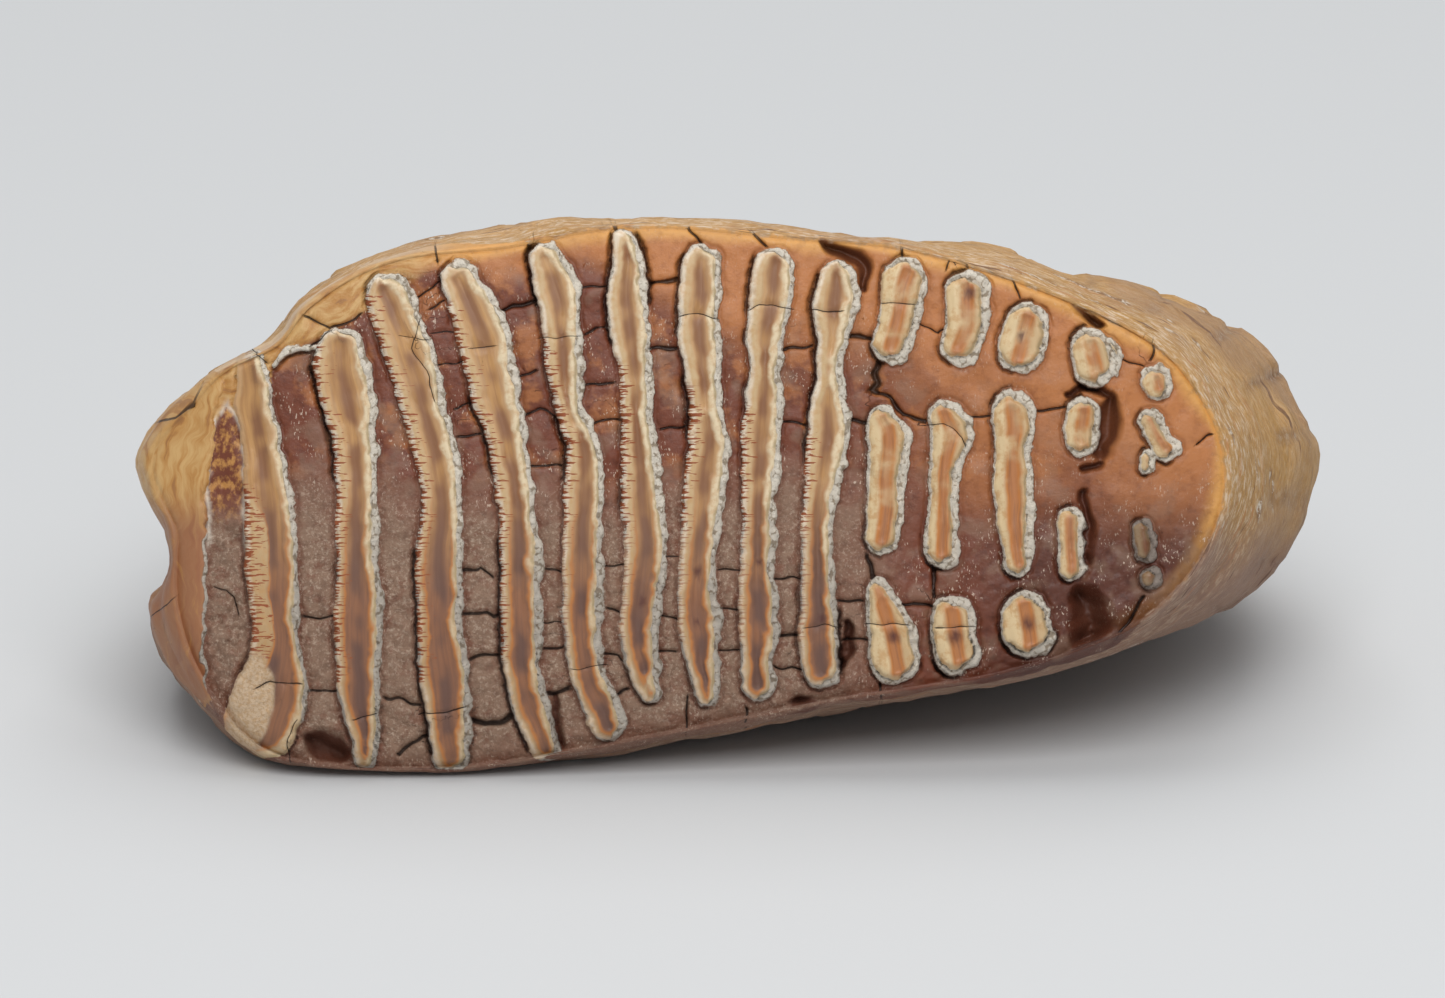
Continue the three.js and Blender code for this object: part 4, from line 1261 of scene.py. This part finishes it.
def plate_colour(shades, colours, fields):
    """A worn plate, layer over layer from the dentine in its middle to the frill on its edge."""
    core = shades.mix(fields.below, colours.dentine_core, colours.dentine_core_low)
    colour = dentine_colour(shades, colours, fields, core)
    in_band = fields.past_band.ramp(0.6, -0.4) * fields.band.ramp(0.2, 1.2)
    colour = shades.mix(in_band, colour, enamel_colour(shades, colours, fields))
    colour = with_pillars(shades, colours, fields, colour, core)
    hollow = fields.past_frill.band(0, 0.55, 0.25) * fields.right * shades.noise(0.3).ramp(0.4, 0.55)
    colour = shades.mix(hollow * 0.8, colour, colours.hollow_band)
    colour = shades.mix(fields.limb, colour, front_limb_colour(shades, colours, fields, core))
    colour = shades.mix(fields.eye * 0.9, colour, colours.eye)
    colour = shades.mix(fields.in_frill, colour, frill_colour(shades, colours, fields))
    # The plates at the lower right of the right end are darkened
    darker_right_pillars = shades.x.ramp(77, 81) * shades.y.ramp(4, -4)
    colour = shades.mix(darker_right_pillars, colour, shades.filtered(colour, DARK_PILLAR_TINT))
    colour = shades.mix(barb_share(shades, fields), colour, colours.barb)
    sandy = shades.mix(shades.noise(1.4, 3, 0.6).ramp(0.4, 0.65) * 0.5, colours.sandy, colours.dentine)
    return shades.mix(fields.sandy, colour, sandy)


def damaged_side(shades, colours, fields, colour):
    """Adds painted shade in the grooves between the ribs, broad stains, and gashes with whitish flecks."""
    # Painted shade: the grooves between the ribs are darkened
    groove = fields.groove * shades.noise(0.08, 3).ramp(0.36, 0.6)
    colour = shades.mix(groove * 0.45, colour, colours.side_dark)
    stain = shades.noise(0.022, 3, 0.6).ramp(0.46, 0.6)
    colour = shades.mix(stain * 0.35, colour, colours.side_brown)
    gashes = shades.noise(0.3, 3, 0.6, shades.stretched(0.14, 0.14, 0.6)).ramp(0.37, 0.31)
    gashes = either(gashes, groove * 0.3)
    colour = shades.mix(gashes * 0.5, colour, colours.side_dark)
    flecks = shades.noise(0.55, 3, 0.7).ramp(0.48, 0.6)
    return shades.mix(gashes * flecks * 0.8, colour, colours.frill)


def side_colour(shades, colours, fields, fibres, fine):
    """Fibres that run around the crown, golden patches, rust and fissures, and a brown underside that is
    partly its own tone and partly painted shade.
    """
    along = shades.stretched(*FIBRE_STRETCH)
    near_face = fields.rim.ramp(-24, -6)
    patches = shades.noise(0.05, 3)
    # Partly painted shade: the underside turns browner and darker, with fewer pale fibres
    underside_brown_and_shade = (shades.y + patches * 20).ramp(16, -8)
    colour = shades.mix(fibres.ramp(0.38, 0.62), colours.side, colours.side_gold)
    colour = shades.mix(patches.ramp(0.5, 0.62), colour, colours.side_gold)
    sheet = shades.noise(0.12, 3, 0.6, along).ramp(0.5, 0.6)
    colour = shades.mix(sheet * 0.45, colour, colours.side)
    colour = shades.mix(underside_brown_and_shade * 0.88, colour, colours.side_brown)
    paleness = (near_face * 0.6 + 0.22) * (1 - underside_brown_and_shade * 0.6)
    colour = shades.mix(fine.ramp(0.46, 0.64) * paleness, colour, colours.side_pale)
    colour = shades.mix(fine.ramp(0.46, 0.36) * (underside_brown_and_shade * 0.35 + 0.3), colour, colours.side_brown)
    rust = shades.noise(0.7, 3, 0.7, along).ramp(0.56, 0.66) * near_face
    colour = shades.mix(rust * 0.5, colour, colours.cement_upper)
    fissures = shades.noise(0.42, 3, 0.8, along).ramp(0.375, 0.33)
    colour = shades.mix(fissures * 0.8, colour, colours.side_dark)
    return damaged_side(shades, colours, fields, colour)


def read_fields(shades):
    """The fields that the mesh keeps, and what several layers of a plate work out from them."""
    fields = SimpleNamespace(**{name: shades.field(name) for name in FIELD_NAMES})
    fields.streaks = shades.streaks(shades.mix_value(fields.limb, fields.across, fields.edge), shades.y)
    # below grows towards the lower half, where the plates darken, partly in their own tone and partly as
    # painted shade
    fields.below = shades.y.ramp(8, -22) * (1 - fields.pillar * 0.65)
    fields.right = fields.across.ramp(-0.4, 0.4)
    fields.wander = shades.noise(0.16) * 1.4 - 0.7
    fields.inner = fields.edge + fields.wander
    fields.past_band = fields.inner - fields.band
    fields.past_frill = fields.edge - fields.frill
    fields.in_frill = fields.past_frill.ramp(0.22, -0.12) * fields.frill.ramp(0.12, 0.35)
    return fields


def crack_and_fissure_shade(fields, fine_edge):
    """Painted shade in the cracks, and in the open fissures beside plates."""
    fissure = fine_edge.band(-0.5, 0, 0.2) * fields.loose.ramp(0.2, 0.6)
    off_plate = either(fine_edge.ramp(0.3, -0.2), fields.cuts_plates)
    return either(fissure, fields.on_crack * abs(fields.crack).ramp(0.95, 0.35) * off_plate)


def tooth_material(colours):
    """Worn face and fibrous sides, with their cracks, pits and grain."""
    shades = Shades("molar")
    fields = read_fields(shades)
    fine_edge = fields.edge + (shades.noise(2.2) * 0.5 - 0.25)
    on_plate = fine_edge.ramp(-0.12, 0.1)
    face = shades.mix(on_plate, cement_colour(shades, colours, fields), plate_colour(shades, colours, fields))
    # Partly painted shade: the pits are darkened towards the pit colour
    pit = fields.pit.ramp(0.2, 2.4) * fine_edge.ramp(0.4, -0.2)
    face = shades.mix(pit * 0.85, face, colours.pit)
    # Painted shade: cracks and open fissures are darkened towards the crack colour
    dark = crack_and_fissure_shade(fields, fine_edge)
    face = shades.mix(dark * 0.85, face, colours.crack)
    fibres = shades.noise(0.34, 6, 0.75, shades.stretched(*FIBRE_STRETCH))
    fine_fibres = shades.noise(2, 4, 0.7, shades.stretched(*FINE_FIBRE_STRETCH))
    uneven = shades.noise(0.35, 4, 0.6) * 4 - 2
    aside = (fields.rim + fields.side_start + uneven).ramp(0.5, -0.5)
    side = side_colour(shades, colours, fields, fibres, fine_fibres)
    crumbly = either(fields.in_frill * on_plate, fields.sandy)
    coarse = shades.noise(0.9, 5, 0.7)
    cement_grain = coarse * (fields.dull * 0.5 + 0.22)
    crumbs = either(fields.in_frill, fields.sandy) * shades.noise(1.6, 4, 0.7)
    plate_grain = crumbs * 0.9 + fields.streaks * 0.12
    side_grain = fibres + fine_fibres * 0.35 - 0.76 + coarse * 0.4
    grain = shades.mix_value(aside, shades.mix_value(on_plate, cement_grain, plate_grain), side_grain)
    bump = {"Height": grain - dark * 0.4, "Distance": GRAIN_HEIGHT}
    finish = {
        "Base Color": shades.mix(aside, face, side),
        "Roughness": fields.dull * 0.15 + 0.42 + crumbly * 0.35 + aside * 0.22,
        "Specular IOR Level": 0.4,
        "Normal": shades.add("ShaderNodeBump", bump, "Normal"),
    }
    for name, value in finish.items():
        connect(shades.shader.inputs[name], value)
    return shades.material


class MOLAR_OT_finish_tooth(bpy.types.Operator):
    """Give the tooth its colours and its fine grain"""

    bl_idname = "molar.finish_tooth"
    bl_label = "Finish tooth"

    def execute(self, context):
        tooth = bpy.data.objects["molar_tooth"]
        tooth.data.materials.clear()
        tooth.data.materials.append(tooth_material(context.scene.molar_colours))
        return {"FINISHED"}


class StageForm(bpy.types.PropertyGroup):
    """Camera and lights."""

    camera_distance: bpy.props.FloatProperty(
        name="Camera distance", description="From the camera to the middle of the chewing face",
        default=3.0, unit="LENGTH")
    view_width: bpy.props.FloatProperty(
        name="View width", description="Width that the camera sees at the chewing face",
        default=PHOTO_WIDTH / PIXELS_PER_MM * MM, unit="LENGTH")
    view_centre: bpy.props.FloatProperty(
        name="View centre", description="Place along the chewing face that the camera looks at",
        default=-0.5 * MM, unit="LENGTH")
    key_power: bpy.props.FloatProperty(
        name="Key light", description="Power of the large light overhead", default=13, unit="POWER")
    fill_power: bpy.props.FloatProperty(
        name="Fill light", description="Power of the light beside the camera", default=22, unit="POWER")
    surroundings: bpy.props.FloatProperty(
        name="Surroundings", description="Brightness of the light from all around", default=0.4)
    floor_colour: colour_field("Floor", "Pale grey surface", 203, 204, 205)


def add_floor(stage):
    """A wide pale surface, which isn't part of the object."""
    bpy.ops.object.select_all(action="DESELECT")
    bpy.ops.mesh.primitive_plane_add(size=FLOOR_SIZE, location=(0, FLOOR_SIZE / 4, 0))
    floor = bpy.context.object
    floor.name = "floor"
    bpy.ops.object.transform_apply(location=True, rotation=False, scale=True)
    material = bpy.data.materials.new("floor")
    material.use_nodes = True
    shader = material.node_tree.nodes["Principled BSDF"]
    shader.inputs["Base Color"].default_value = (*stage.floor_colour, 1)
    shader.inputs["Roughness"].default_value = 0.85
    shader.inputs["Specular IOR Level"].default_value = 0.2
    floor.data.materials.append(material)


def add_light(name, size, power, place, target):
    """A square lamp that points at the target."""
    bpy.ops.object.light_add(type="AREA", location=place)
    light = bpy.context.object
    light.name = name
    light.data.size = size
    light.data.energy = power
    light.rotation_euler = (Vector(target) - Vector(place)).to_track_quat("-Z", "Y").to_euler()


class MOLAR_OT_set_stage(bpy.types.Operator):
    """Add the floor, the lights and the camera"""

    bl_idname = "molar.set_stage"
    bl_label = "Set stage"

    def execute(self, context):
        stage = context.scene.molar_stage
        add_floor(stage)
        middle = Vector(to_shared(np.array([[stage.view_centre / MM, 0, 0]]))[0])
        for (name, size, place), power in zip(LIGHTS, (stage.key_power, stage.fill_power)):
            add_light(name, size, power, place, middle)
        world = bpy.data.worlds.new("surroundings")
        context.scene.world = world
        world.use_nodes = True
        background = world.node_tree.nodes["Background"]
        background.inputs["Color"].default_value = SKY_COLOUR
        background.inputs["Strength"].default_value = stage.surroundings
        towards = Vector((0, -math.cos(LEAN_BACK), math.sin(LEAN_BACK)))
        place = middle + towards * stage.camera_distance
        bpy.ops.object.camera_add(location=place)
        camera = context.object
        camera.rotation_euler = (-towards).to_track_quat("-Z", "Y").to_euler()
        camera.data.sensor_width = SENSOR_WIDTH
        camera.data.lens = SENSOR_WIDTH * stage.camera_distance / stage.view_width
        camera.data.clip_end = 30
        context.scene.camera = camera
        context.scene.view_settings.view_transform = "Standard"
        return {"FINISHED"}


class MOLAR_PT_panel(bpy.types.Panel):
    """Steps that build the tooth"""

    bl_label = "Mammoth molar"
    bl_idname = "MOLAR_PT_panel"
    bl_space_type = "VIEW_3D"
    bl_region_type = "UI"
    bl_category = "Molar"

    def draw(self, context):
        for operator in (MOLAR_OT_make_tooth, MOLAR_OT_finish_tooth, MOLAR_OT_set_stage):
            self.layout.operator(operator.bl_idname)
        for group in (context.scene.molar_form, context.scene.molar_colours, context.scene.molar_stage):
            for name in group.bl_rna.properties.keys():
                if name not in {"rna_type", "name"}:
                    self.layout.prop(group, name)


CLASSES = (ToothForm, ToothColours, StageForm, MOLAR_OT_make_tooth, MOLAR_OT_finish_tooth,
           MOLAR_OT_set_stage, MOLAR_PT_panel)


def register():
    for kind in CLASSES:
        bpy.utils.register_class(kind)
    bpy.types.Scene.molar_form = bpy.props.PointerProperty(type=ToothForm)
    bpy.types.Scene.molar_colours = bpy.props.PointerProperty(type=ToothColours)
    bpy.types.Scene.molar_stage = bpy.props.PointerProperty(type=StageForm)


def unregister():
    del bpy.types.Scene.molar_stage
    del bpy.types.Scene.molar_colours
    del bpy.types.Scene.molar_form
    for kind in reversed(CLASSES):
        bpy.utils.unregister_class(kind)


def main():
    register()
    bpy.ops.molar.make_tooth()
    bpy.ops.molar.finish_tooth()
    bpy.ops.molar.set_stage()


if __name__ == "__main__":
    main()
